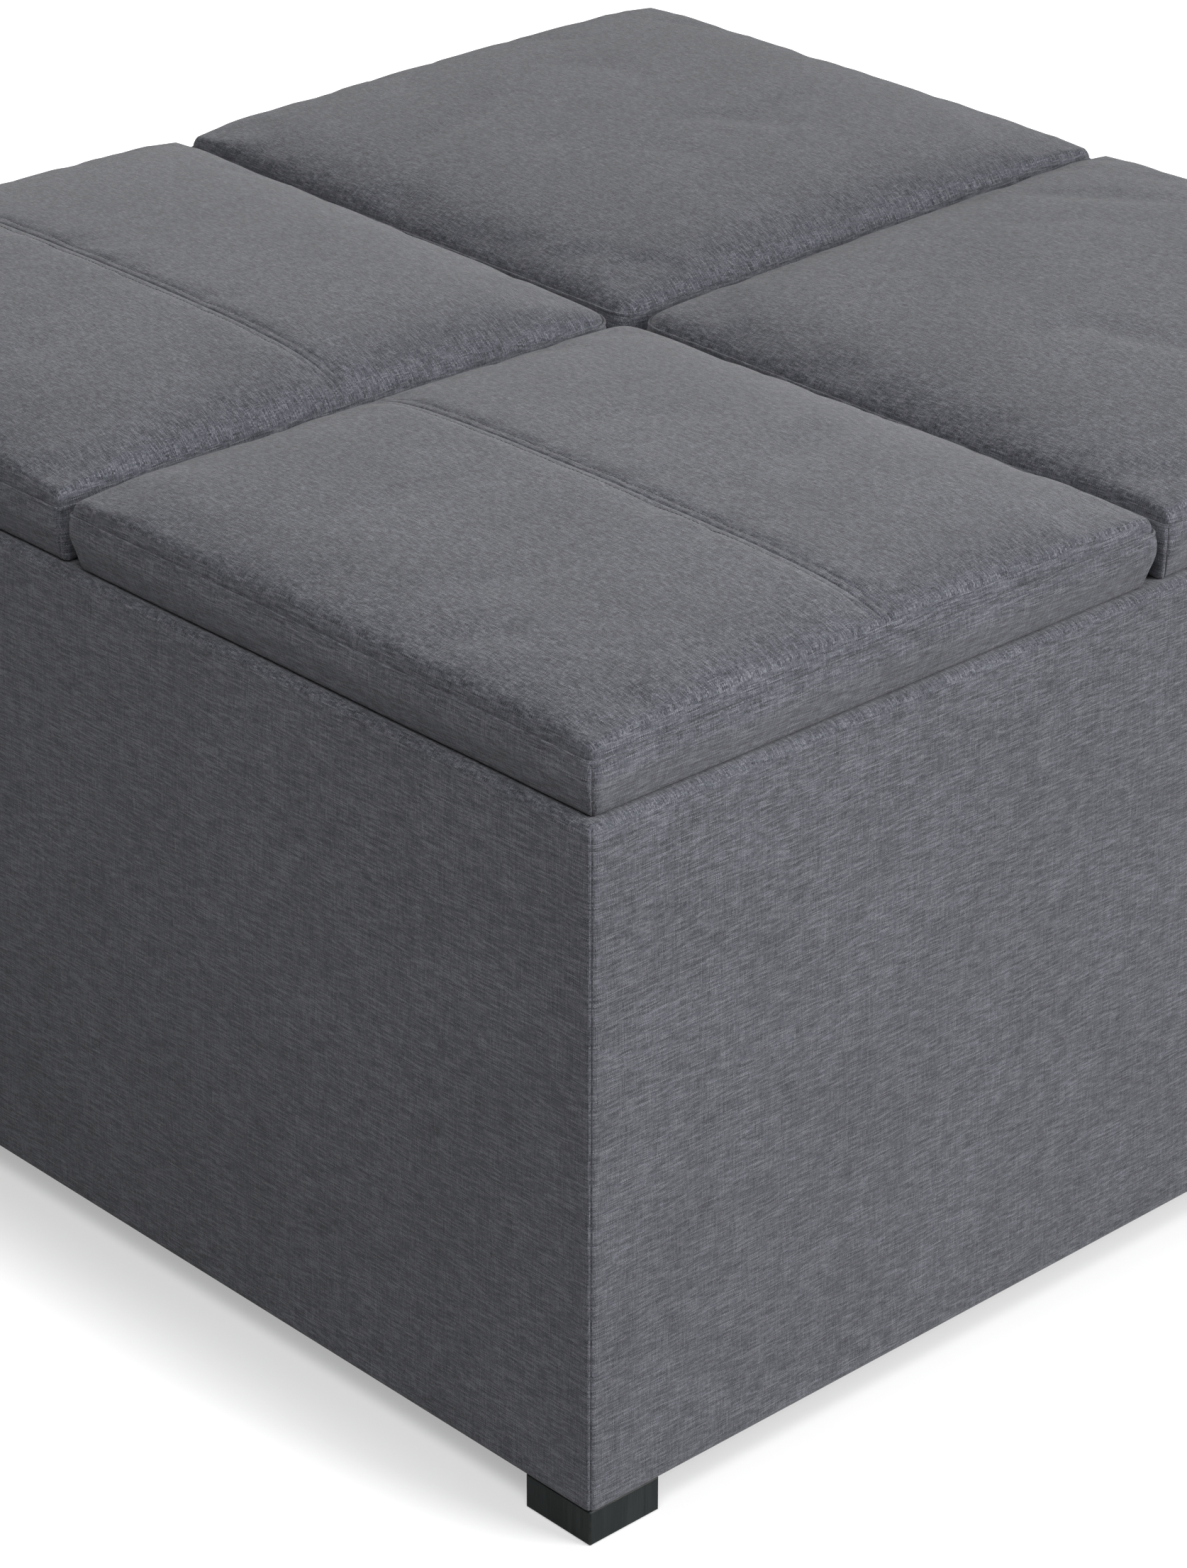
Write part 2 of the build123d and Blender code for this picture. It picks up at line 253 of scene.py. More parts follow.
def add_bump(n, shader, height, distance, strength=1.0):
    """Feeds a height, in the range 0 to 1, to the shader as a bump of that depth."""
    bump = n.add("ShaderNodeBump")
    bump.inputs["Strength"].default_value = strength
    bump.inputs["Distance"].default_value = distance
    n.feed(bump.inputs["Height"], height)
    n.feed(shader["Normal"], bump.outputs[0])


# %% [markdown]
# ## The linen weave
# The cover is a heathered plain weave: yarns of slightly different greys, about 0.6 mm apart, with thick
# and thin places, called slubs, that run with the weft. A picture of cloth would need unwrapping and would
# repeat, so the weave is worked out from the place in space instead. Each panel takes its two directions
# from the way that it faces: the weft is level on the sides and runs across on the tops.

# %% Node group: linen weave
LINEN, n, given, out = new_group(
    "linen_weave",
    {
        "Yarn Spacing": 0.6 * MM,
        "Slub Length": 11 * MM,
        "Slub Width": 1.0 * MM,
        "Wobble": 0.5 * MM,
        "Warp Evenness": 0.6,
        "Fleck Size": 1.3 * MM,
        "Fleck Contrast": 0.22,
        "Top Share": 0.45,
    },
    ["Tone", "Slub", "Cloud", "Height"],
)
place = n.add("ShaderNodeTexCoord").outputs
x, y, z = n.parts(place["Object"])
facing = n.add("ShaderNodeVectorMath", operation="ABSOLUTE")
n.feed(facing.inputs[0], place["Normal"])
facing_x, facing_y, facing_z = n.parts(facing.outputs[0])

# A panel counts as a top until it is steeper than about 63 degrees
is_top = n.maths("GREATER_THAN", n.maths("MULTIPLY", facing_z, 2.0), n.maths("MAXIMUM", facing_x, facing_y))
is_side_x = n.maths("GREATER_THAN", facing_x, n.maths("ADD", facing_y, is_top))
level = n.blend(is_side_x, x, y)
upright = n.blend(is_top, z, y)

# The yarns wander a little, so that the weave never lines up with itself. Noise keeps near its middle, so
# it takes a gain to use the whole wobble.
WANDER_SCALE = 28.0
WANDER_GAIN = 4.0
wander = n.maths("SUBTRACT", n.noise(place["Object"], WANDER_SCALE), 0.5)
drift = n.maths("MULTIPLY", wander, given["Wobble"])
drift = n.maths("MULTIPLY", drift, WANDER_GAIN)
level = n.maths("ADD", level, drift)
upright = n.maths("SUBTRACT", upright, drift)
warp = n.maths("DIVIDE", level, given["Yarn Spacing"])
weft = n.maths("DIVIDE", upright, given["Yarn Spacing"])
warp_count = n.maths("FLOOR", warp)
weft_count = n.maths("FLOOR", weft)


def yarn_roundness(position):
    """1 along the middle of a yarn and 0 between two yarns."""
    from_middle = n.maths("SUBTRACT", n.maths("FRACT", position), 0.5)
    return n.maths("SUBTRACT", 1.0, n.maths("MULTIPLY", 4.0, n.maths("MULTIPLY", from_middle, from_middle)))


def over_under(along, count, turn):
    """1 where a yarn passes over the other set and 0 where it passes under."""
    angle = n.maths("MULTIPLY", n.maths("ADD", n.maths("ADD", along, count), turn), math.pi)
    return n.maths("ADD", 0.5, n.maths("MULTIPLY", 0.5, n.maths("COSINE", angle)))


warp_height = n.maths("MULTIPLY", yarn_roundness(warp), over_under(weft, warp_count, -0.5))
weft_height = n.maths("MULTIPLY", yarn_roundness(weft), over_under(warp, weft_count, 0.5))
weft_shows = n.step(n.maths("SUBTRACT", weft_height, warp_height), -0.2, 0.2)

# Each yarn has its own grey, which changes slowly along it. The warp is spun more evenly than the weft. A
# stride puts every yarn in a part of the noise of its own, and a layer keeps the warp and the slubs apart.
YARN_STRIDE = 3.7
WARP_LAYER = 9.5
SLUB_LAYER = 4.2
slub_length = n.maths("MULTIPLY", given["Slub Length"], n.blend(is_top, 1.0, given["Top Share"]))
along_weft = n.maths("DIVIDE", level, slub_length)
along_warp = n.maths("DIVIDE", upright, slub_length)
weft_tone = n.noise(n.vector(along_weft, n.maths("MULTIPLY", weft_count, YARN_STRIDE), is_side_x), 1.0, 4.0)
own_warp = n.vector(n.maths("MULTIPLY", warp_count, YARN_STRIDE), along_warp, WARP_LAYER)
warp_tone = n.noise(own_warp, 1.0, 3.0)
warp_tone = n.blend(given["Warp Evenness"], warp_tone, 0.5)
across_slub = n.maths("DIVIDE", upright, given["Slub Width"])
slub = n.noise(n.vector(along_weft, across_slub, SLUB_LAYER), 1.0, 2.0)

fleck = n.noise(place["Object"], n.maths("DIVIDE", 1.0, given["Fleck Size"]), 2.0)
fleck = n.maths("MULTIPLY", n.maths("SUBTRACT", fleck, 0.5), given["Fleck Contrast"])
n.feed(out["Tone"], n.maths("ADD", n.blend(weft_shows, warp_tone, weft_tone), fleck))
n.feed(out["Slub"], slub)
CLOUD_SCALE = 16.0
n.feed(out["Cloud"], n.noise(place["Object"], CLOUD_SCALE, 3.0))
n.feed(out["Height"], n.maths("MAXIMUM", warp_height, weft_height))
print("linen weave:", len(LINEN.nodes), "nodes")

# %% [markdown]
# ## Wear along the edges
# Hands and knees rub the edges of furniture first. An edge here is wherever the surface turns away from its
# broad faces, and that shows in the surface direction: on a flat face one of its three parts is 1, and on a
# broken or rounded edge none is. Noise breaks the line up, so that the wear isn't a drawn outline.

# %% Node group: edge wear
EDGE_WEAR, n, given, out = new_group("edge_wear", {"Amount": 1.0, "Patch Size": 12 * MM}, ["Wear"])
place = n.add("ShaderNodeTexCoord").outputs
facing = n.add("ShaderNodeVectorMath", operation="ABSOLUTE")
n.feed(facing.inputs[0], place["Normal"])
facing_x, facing_y, facing_z = n.parts(facing.outputs[0])
flatness = n.maths("MAXIMUM", n.maths("MAXIMUM", facing_x, facing_y), facing_z)
turned = n.step(n.maths("SUBTRACT", 1.0, flatness), 0.02, 0.25)
patches = n.step(n.noise(place["Object"], n.maths("DIVIDE", 1.0, given["Patch Size"]), 4.0), 0.4, 0.65)
n.feed(out["Wear"], n.maths("MULTIPLY", n.maths("MULTIPLY", turned, patches), given["Amount"]))
print("edge wear:", len(EDGE_WEAR.nodes), "nodes")

# %% [markdown]
# ## Upholstery and thread
# Cloth reflects hardly any mirror light, but its loose fibres catch light at grazing angles, which the
# sheen part of the shader gives. The yarn greys go through a ramp from charcoal to pale grey, the slubs
# lighten or darken it in streaks, and the gaps between yarns are painted darker, as painted shade.

# %% Upholstery
YARN_GREYS = [
    (0.36, (0.014, 0.015, 0.019, 1)),
    (0.50, (0.066, 0.068, 0.082, 1)),
    (0.66, (0.165, 0.167, 0.190, 1)),
]
SLUB_LIGHT = (0.165, 0.167, 0.188, 1)
SLUB_DARK = (0.022, 0.023, 0.030, 1)
YARN_DEPTH = 0.22 * MM
SLUB_STRENGTH = 0.55
GAP_SHADE = 0.72
CLOUDINESS = 0.07
STRAND_TWIST = 9000.0


def upholstery_material(name):
    """The heathered linen of the case and the cushions."""
    material, n, shader = new_material(
        name, 0.88, Sheen_Weight=0.18, Sheen_Roughness=0.45, Specular_IOR_Level=0.25
    )
    weave = n.group(LINEN)
    greys = n.add("ShaderNodeValToRGB")
    ramp = greys.color_ramp
    ramp.elements.remove(ramp.elements[0])
    ramp.elements[0].position, ramp.elements[0].color = YARN_GREYS[0]
    for position, colour in YARN_GREYS[1:]:
        ramp.elements.new(position).color = colour
    n.feed(greys.inputs[0], weave["Tone"])
    cloth = n.tint(n.step(weave["Slub"], 0.58, 0.78, 0.0, SLUB_STRENGTH), greys.outputs[0], SLUB_LIGHT)
    cloth = n.tint(n.step(weave["Slub"], 0.42, 0.24, 0.0, SLUB_STRENGTH), cloth, SLUB_DARK)
    # Painted shade: the gaps between yarns are darkened in the colour, as if shade fell in them; the cloud
    # is the cloth's own uneven tone.
    painted_gap_shade = n.step(weave["Height"], 0.0, 0.6, GAP_SHADE, 1.0)
    cloud = n.step(weave["Cloud"], 0.3, 0.7, 1 - CLOUDINESS, 1 + CLOUDINESS)
    gap_shade_and_cloud = n.maths("MULTIPLY", painted_gap_shade, cloud)
    wear = n.group(EDGE_WEAR, Amount=0.04, Patch_Size=25 * MM)["Wear"]
    cloth = n.tint(1.0, cloth, n.vector(gap_shade_and_cloud, gap_shade_and_cloud, gap_shade_and_cloud), "MULTIPLY")
    n.feed(shader["Base Color"], n.tint(wear, cloth, SLUB_LIGHT))
    n.feed(shader["Roughness"], n.blend(weave["Height"], 0.98, 0.84))
    height = n.maths("ADD", weave["Height"], n.maths("MULTIPLY", weave["Slub"], 0.8))
    add_bump(n, shader, height, YARN_DEPTH, 0.8)
    return material


def thread_material():
    """Dark sewing thread, with the twist of its strands and painted shade in the valleys between them."""
    material, n, shader = new_material("sewing_thread", 0.6, Sheen_Weight=0.2)
    place = n.add("ShaderNodeTexCoord").outputs["Object"]
    x, y, z = n.parts(place)
    twist = n.maths("SINE", n.maths("MULTIPLY", n.maths("ADD", n.maths("ADD", x, y), z), STRAND_TWIST))
    strand = n.step(twist, -1.0, 1.0)
    # Painted shade: the valleys of the twist are darker in the colour, by the same mask that lowers them in
    # the bump.
    n.feed(shader["Base Color"], n.tint(strand, (0.018, 0.019, 0.023, 1), (0.045, 0.047, 0.055, 1)))
    add_bump(n, shader, strand, 0.05 * MM)
    return material


UPHOLSTERY = upholstery_material("heathered_linen")
THREAD = thread_material()
print("materials:", UPHOLSTERY.name, THREAD.name)

# %% [markdown]
# ## Wood
# Boards, rails and trays share one figure of grain. Grain is noise that is stretched a long way along the
# board, with fine dark pores in it. The group takes the place along and across the board, so that every
# piece can lay its own grain lengthwise: a mitred tray rim needs two directions in one material.

# %% Node group: wood grain
WOOD, n, given, out = new_group(
    "wood_grain",
    {"Along": 0.0, "Across": 0.0, "Depth": 0.0, "Figure Width": 9 * MM, "Pore Width": 0.35 * MM},
    ["Figure", "Pores", "Height"],
)
GRAIN_STRETCH = 0.06
RING_WAVES = 26.0
stretched = n.maths("MULTIPLY", given["Along"], GRAIN_STRETCH)
rings = n.vector(
    n.maths("DIVIDE", stretched, given["Figure Width"]),
    n.maths("DIVIDE", given["Across"], given["Figure Width"]),
    n.maths("DIVIDE", given["Depth"], given["Figure Width"]),
)
bands = n.noise(rings, 1.0, 4.0)
pores = n.vector(
    n.maths("DIVIDE", stretched, n.maths("MULTIPLY", given["Pore Width"], 2.5)),
    n.maths("DIVIDE", given["Across"], given["Pore Width"]),
    n.maths("DIVIDE", given["Depth"], given["Pore Width"]),
)
pore_mask = n.step(n.noise(pores, 1.0, 1.0), 0.56, 0.68)
waves = n.maths("SINE", n.maths("MULTIPLY", bands, RING_WAVES))
n.feed(out["Figure"], n.step(n.maths("ADD", n.maths("MULTIPLY", waves, 0.25), bands), 0.2, 0.85))
n.feed(out["Pores"], pore_mask)
n.feed(out["Height"], n.maths("SUBTRACT", 1.0, pore_mask))
print("wood grain:", len(WOOD.nodes), "nodes")

# %% Wood finishes
lid_low, lid_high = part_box("lid_board_front_right")
LID_CENTRE = (lid_low + lid_high) / 2
PORE_SHADE = 0.35
PORE_SHARE = 0.5
WORN_LIGHTER = 1.5


def wood_material(name, grain, light, dark, roughness, coat=0.0):
    """A wood finish. grain is X, Y or Z, or MITRED for the four rails of a rim around each lid's centre."""
    material, n, shader = new_material(name, roughness, Coat_Weight=coat, Coat_Roughness=0.25)
    x, y, z = n.parts(n.add("ShaderNodeTexCoord").outputs["Object"])
    if grain == "MITRED":
        from_x = n.maths("SUBTRACT", n.maths("ABSOLUTE", x), LID_CENTRE.x)
        from_y = n.maths("SUBTRACT", n.maths("ABSOLUTE", y), -LID_CENTRE.y)
        side_rail = n.maths("GREATER_THAN", n.maths("ABSOLUTE", from_x), n.maths("ABSOLUTE", from_y))
        along, across, depth = n.blend(side_rail, x, y), n.blend(side_rail, y, x), z
    else:
        along, across, depth = {"X": (x, y, z), "Y": (y, x, z), "Z": (z, x, y)}[grain]
    wood = n.group(WOOD, Along=along, Across=across, Depth=depth)
    colour = n.tint(wood["Figure"], light, dark)
    in_pores = tuple(c * PORE_SHADE for c in dark[:3]) + (1,)
    colour = n.tint(n.maths("MULTIPLY", wood["Pores"], PORE_SHARE), colour, in_pores)
    wear = n.group(EDGE_WEAR, Amount=0.35, Patch_Size=18 * MM)["Wear"]
    worn = tuple(min(1, c * WORN_LIGHTER) for c in light[:3]) + (1,)
    n.feed(shader["Base Color"], n.tint(wear, colour, worn))
    n.feed(shader["Roughness"], n.blend(wood["Figure"], roughness - 0.05, roughness + 0.08))
    add_bump(n, shader, wood["Height"], 0.12 * MM, 0.6)
    return material


ESPRESSO = ((0.062, 0.034, 0.021, 1), (0.026, 0.014, 0.009, 1))
BOARD = ((0.55, 0.39, 0.23, 1), (0.42, 0.27, 0.14, 1))
PINE = ((0.62, 0.43, 0.22, 1), (0.47, 0.28, 0.12, 1))
TRAY_RAILS = wood_material("espresso_rail", "MITRED", *ESPRESSO, 0.38, coat=0.25)
TRAY_PANEL = wood_material("espresso_panel", "X", *ESPRESSO, 0.42, coat=0.25)
BOARD_X = wood_material("board_lengthwise", "X", *BOARD, 0.68)
BOARD_Y = wood_material("board_crosswise", "Y", *BOARD, 0.68)
TIMBER = wood_material("pine", "X", *PINE, 0.72)
print("wood finishes: 5")

# %% [markdown]
# ## Lacquer, steel, foam and the thin cloths
# The feet are wood under black satin lacquer, which still shows a little of the pores and rubs brown along
# its edges. Screws and staples are drawn steel with fine lines. Foam is a mass of small cells, and the
# lining and the dust cloth are pressed fibre, not woven, with a pattern of small pressed dots.

# %% Lacquer and steel
LINE_STRETCH = 60.0


def lacquer_material():
    """Black satin lacquer over wood, for the feet."""
    material, n, shader = new_material("black_lacquer", 0.5, Specular_IOR_Level=0.22)
    x, y, z = n.parts(n.add("ShaderNodeTexCoord").outputs["Object"])
    wood = n.group(WOOD, Along=z, Across=x, Depth=y)
    colour = n.tint(wood["Figure"], (0.013, 0.017, 0.017, 1), (0.008, 0.011, 0.011, 1))
    wear = n.group(EDGE_WEAR, Amount=0.4, Patch_Size=9 * MM)["Wear"]
    n.feed(shader["Base Color"], n.tint(wear, colour, (0.045, 0.042, 0.038, 1)))
    n.feed(shader["Roughness"], n.blend(wood["Pores"], 0.46, 0.62))
    add_bump(n, shader, wood["Height"], 0.08 * MM, 0.5)
    return material


def steel_material():
    """Zinc-plated steel with fine drawn lines."""
    material, n, shader = new_material("plated_steel", 0.35, Metallic=1.0)
    x, y, z = n.parts(n.add("ShaderNodeTexCoord").outputs["Object"])
    across = n.vector(n.maths("MULTIPLY", x, LINE_STRETCH), n.maths("MULTIPLY", y, LINE_STRETCH), z)
    lines = n.noise(across, 60.0, 3.0)
    n.feed(shader["Base Color"], n.tint(lines, (0.46, 0.46, 0.44, 1), (0.70, 0.70, 0.68, 1)))
    n.feed(shader["Roughness"], n.step(lines, 0.3, 0.7, 0.26, 0.46))
    add_bump(n, shader, lines, 0.02 * MM)
    return material


LACQUER = lacquer_material()
STEEL = steel_material()
print("hard finishes:", LACQUER.name, STEEL.name)

# %% Node group: pressed fibre
FIBRE, n, given, out = new_group(
    "pressed_fibre",
    {"Fibre Size": 1.6 * MM, "Dot Spacing": 3.2 * MM},
    ["Tone", "Height"],
)
place = n.add("ShaderNodeTexCoord").outputs["Object"]
fibres = n.noise(place, n.maths("DIVIDE", 1.0, given["Fibre Size"]), 4.0)
dots = n.add("ShaderNodeTexVoronoi", feature="F1")
n.feed(dots.inputs["Vector"], place)
n.feed(dots.inputs["Scale"], n.maths("DIVIDE", 1.0, given["Dot Spacing"]))
dots.inputs["Randomness"].default_value = 0.15
pressed = n.step(dots.outputs["Distance"], 0.12, 0.28)
n.feed(out["Tone"], n.maths("MULTIPLY", fibres, n.blend(pressed, 0.75, 1.0)))
n.feed(out["Height"], n.maths("ADD", n.maths("MULTIPLY", fibres, 0.4), n.maths("MULTIPLY", pressed, 0.6)))
print("pressed fibre:", len(FIBRE.nodes), "nodes")


# %% Thin cloths and foam
def fibre_material(name, light, dark):
    """Pressed-fibre cloth between two colours."""
    material, n, shader = new_material(name, 0.95, Sheen_Weight=0.15)
    fibre = n.group(FIBRE)
    n.feed(shader["Base Color"], n.tint(n.step(fibre["Tone"], 0.25, 0.7), dark, light))
    n.feed(shader["Roughness"], n.blend(fibre["Tone"], 0.98, 0.86))
    add_bump(n, shader, fibre["Height"], 0.15 * MM, 0.7)
    return material


FOAM_CELL_SIZE = 1 / 700


def foam_material():
    """Open-cell foam, slightly yellowed in patches, with painted shade in the pits of its cells."""
    material, n, shader = new_material("cushion_foam", 0.97)
    place = n.add("ShaderNodeTexCoord").outputs["Object"]
    cells = n.add("ShaderNodeTexVoronoi", feature="F1")
    n.feed(cells.inputs["Vector"], place)
    cells.inputs["Scale"].default_value = 1 / FOAM_CELL_SIZE
    aged = n.step(n.noise(place, 14.0, 3.0), 0.35, 0.7)
    colour = n.tint(aged, (0.80, 0.76, 0.62, 1), (0.74, 0.64, 0.40, 1))
    # Painted shade: the pit at the middle of each cell is darkened in the colour, as if shade fell in it.
    painted_pore_shade = n.step(cells.outputs["Distance"], 0.0, 0.35)
    n.feed(shader["Base Color"], n.tint(painted_pore_shade, (0.5, 0.45, 0.32, 1), colour))
    add_bump(n, shader, cells.outputs["Distance"], 0.4 * MM, 0.8)
    return material


LINING = fibre_material("lining_cloth", (0.085, 0.086, 0.092, 1), (0.035, 0.036, 0.040, 1))
DUST_CLOTH = fibre_material("underside_cloth", (0.035, 0.035, 0.036, 1), (0.012, 0.012, 0.013, 1))
FOAM = foam_material()
print("cloths and foam:", LINING.name, DUST_CLOTH.name, FOAM.name)

# %% Finish the pieces that stay
FINISHES = {
    "front_panel": BOARD_X, "rear_panel": BOARD_X, "left_panel": BOARD_Y, "right_panel": BOARD_Y,
    "floor_panel": BOARD_X, "long_divider": BOARD_X, "cross_divider": BOARD_Y, "lid_board": BOARD_X,
    "floor_cleats": TIMBER, "corner_blocks": TIMBER, "foot_screws": STEEL, "wall_screws": STEEL,
    "divider_screws": STEEL, "floor_screws": STEEL, "rim_screws": STEEL, "dust_cloth_staples": STEEL,
    "foot": LACQUER, "tray_panel": TRAY_PANEL, "tray_rim": TRAY_RAILS,
}


def base_name(node_name):
    """A node's name without the corner that it belongs to."""
    for corner in CORNERS:
        node_name = node_name.removesuffix("_" + corner)
    return node_name


finished = 0
for name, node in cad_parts.items():
    finish = FINISHES.get(base_name(name))
    if finish:
        for slot in node.material_slots:
            slot.material = finish
        finished += 1
print("finished", finished, "pieces that stay as they are")

# %% Floor
FLOOR_REACH = 9.0
FLOOR_GLOW = 1.0
# The floor's glow is weaker near the ottoman, out to this reach, as a painted shadow round its base
PAINTED_SHADOW_REACH = 0.12
PAINTED_SHADOW_GLOW = 0.40


def add_mesh(name, points, faces, material=None, smooth=True):
    """A mesh object from points and faces, with its normals turned outwards."""
    mesh = bpy.data.meshes.new(name)
    mesh.from_pydata([tuple(map(float, p)) for p in points], [], faces)
    form = bmesh.new()
    form.from_mesh(mesh)
    bmesh.ops.recalc_face_normals(form, faces=form.faces)
    form.to_mesh(mesh)
    form.free()
    if smooth:
        mesh.shade_smooth()
    obj = bpy.data.objects.new(name, mesh)
    scene.collection.objects.link(obj)
    if material:
        mesh.materials.append(material)
    return obj


floor_corners = [(x, y, 0) for x, y in ((-1, -1), (1, -1), (1, 1), (-1, 1))]
floor = add_mesh("studio_floor", [Vector(c) * FLOOR_REACH for c in floor_corners], [(0, 1, 2, 3)])
FLOOR_PAPER, n, shader = new_material("pale_floor", 0.9, Emission_Strength=FLOOR_GLOW)
place = n.add("ShaderNodeTexCoord").outputs["Object"]
mottle = n.noise(place, 3.0, 3.0)
n.feed(shader["Base Color"], n.tint(mottle, (0.44, 0.44, 0.44, 1), (0.47, 0.47, 0.47, 1)))
x, y, z = n.parts(place)
# The floor glows white to the camera only. Near the ottoman the glow is weaker, which paints a soft shadow
# round its base on top of the real shadows.
beyond_x = n.maths("MAXIMUM", n.maths("SUBTRACT", n.maths("ABSOLUTE", x), frame_bounds[1][0]), 0.0)
beyond_y = n.maths("MAXIMUM", n.maths("SUBTRACT", n.maths("ABSOLUTE", y), frame_bounds[1][1]), 0.0)
beyond = n.maths("SQRT", n.maths("ADD", n.maths("POWER", beyond_x, 2.0), n.maths("POWER", beyond_y, 2.0)))
glow_with_painted_shadow = n.step(beyond, 0.0, PAINTED_SHADOW_REACH, PAINTED_SHADOW_GLOW, 1.0)
looked_at = n.add("ShaderNodeLightPath").outputs["Is Camera Ray"]
n.feed(shader["Emission Color"], n.tint(n.maths("MULTIPLY", glow_with_painted_shadow, looked_at), (0, 0, 0, 1), (1, 1, 1, 1)))
floor.data.materials.append(FLOOR_PAPER)
print("floor:", 2 * FLOOR_REACH, "m across")

# %% [markdown]
# ## Sewn shells from rings
# Most soft pieces here go round a rounded square, so they are built as rings. A station is a place on the
# way round: on a straight side it slides between the corners, and on a corner it fans round the corner's
# centre. The same stations at another size and corner radius give the next ring, so every ring matches the
# one before it, quad for quad, however far it is moved in or out.


# %% Rings and stations
SMALLEST_RADIUS = 1.5 * MM
FAN_CROWDING = 1.5
SEAM_GROOVE = 0.40 * MM
SEAM_RIDGE_PLACE = 1.5 * MM
SEAM_RIDGE = 0.8 * MM
SEAM_RIDGE_SHARE = 0.7


def corner_fan(p, q):
    """Bends the square corner cell p, q in -1 to 1 into a quarter circle."""
    return p * np.sqrt(1 - q * q / 2), q * np.sqrt(1 - p * p / 2)


def stations_round(per_side, per_corner):
    """Stations round a rounded square: how far to its corner centres, and the way outwards."""
    rows = []
    fan = np.linspace(-1, 1, per_corner + 1)
    fan = np.radians(45) * (1 + np.sign(fan) * np.abs(fan) ** FAN_CROWDING)
    for turn in range(4):
        cos, sin = round(math.cos(turn * math.pi / 2)), round(math.sin(turn * math.pi / 2))
        side = [(t, -1, 0, -1) for t in np.linspace(-1, 1, per_side + 1)[1:-1]]
        corner = [(1, -1, math.sin(a), -math.cos(a)) for a in fan]
        for sx, sy, ax, ay in side + corner:
            centre = sx * cos - sy * sin, sx * sin + sy * cos
            outwards = ax * cos - ay * sin, ax * sin + ay * cos
            rows.append(centre + outwards)
    return np.array(rows)


def ring(stations, half, radius, level):
    """One ring of half a size, a corner radius and a level. The last two may vary round the ring."""
    radius = np.reshape(np.maximum(radius, SMALLEST_RADIUS), (-1, 1))
    half = np.array(half, float)
    plan = stations[:, :2] * (half - radius) + stations[:, 2:] * radius
    return np.column_stack([plan, np.broadcast_to(level, len(plan))])


def push_out(points, stations, amount):
    """Moves ring points outwards in plan by an amount per station."""
    moved = points.copy()
    moved[:, :2] += stations[:, 2:] * np.reshape(amount, (-1, 1))
    return moved


def seam_relief(distance, depth):
    """Cross-section of a plain seam: a groove, with the pressed seam allowance as a low ridge beside it."""
    groove = -depth * np.exp(-((distance / SEAM_GROOVE) ** 2))
    ridge = SEAM_RIDGE_SHARE * depth * np.exp(-(((distance + SEAM_RIDGE_PLACE) / SEAM_RIDGE) ** 2))
    return groove + ridge


def from_corner(stations, radius):
    """Distance round the ring from the middle of the nearest corner, for each station on a corner."""
    angle = np.arctan2(stations[:, 3], stations[:, 2])
    turned = angle % (math.pi / 2) - math.pi / 4
    on_corner = (np.abs(np.abs(stations[:, 0]) - 1) < 1e-6) & (np.abs(np.abs(stations[:, 1]) - 1) < 1e-6)
    return np.where(on_corner, turned * radius, 1.0)


def arc(centre, radius, start, end, count):
    """Points of an arc in a cross-section, with angles in degrees."""
    angles = np.radians(np.linspace(start, end, count))
    return [(centre[0] + radius * math.cos(a), centre[1] + radius * math.sin(a)) for a in angles]


def joined_rings(rings, closed=False):
    """Points and quads of a surface through a list of equal rings."""
    count = len(rings[0])
    faces = []
    for i in range(len(rings) - (0 if closed else 1)):
        a, b = i * count, (i + 1) % len(rings) * count
        for k in range(count):
            following = (k + 1) % count
            faces.append((a + k, a + following, b + following, b + k))
    return np.vstack(rings), faces


def grid_quads(columns, rows, start=0):
    """Quads of a grid of points that is stored column by column."""
    return [
        tuple(start + i * rows + j + step for step in (0, rows, rows + 1, 1))
        for i in range(columns - 1)
        for j in range(rows - 1)
    ]


def gentle(points, scale, seed):
    """Smooth noise from -1 to 1 at each point, the same every time."""
    shift = Vector((seed * 17.3, seed * 5.1, seed * 9.7))
    return np.array([noise.noise(Vector(p) * scale + shift) for p in points])


print("ring helpers ready")

# %% [markdown]
# ## The sleeve of the case
# The case wears one sewn sleeve with a seam down each corner. Its cross-section is followed from the
# staples under the case, round the bottom edge, up the side, over the rim and a short way down inside, and
# then back again one cloth thickness further in. A box with a bevel would miss the turned-in rim, which
# shows as soon as a lid is lifted. The sides lie over thin foam, so they waver by less than a millimetre.

# %% Case sleeve
case_low, case_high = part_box("case_cover")
lining_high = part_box("lining_front_right")[1]
CLOTH = 1.2 * MM
CASE_HALF = case_high.xy
CASE_CORNER = 5 * MM
RIM_ROUND = 6 * MM
RIM_INSIDE_ROUND = 2.5 * MM
HEM_ROUND = 3 * MM
UNDERSIDE_TURN = 60 * MM
RIM_DEPTH = case_high.x - lining_high.x - CLOTH
CASE_WAVER = 0.8 * MM
CASE_SEAM_DEPTH = 0.45 * MM

case_stations = stations_round(per_side=56, per_corner=16)
seam_distance = from_corner(case_stations, CASE_CORNER)


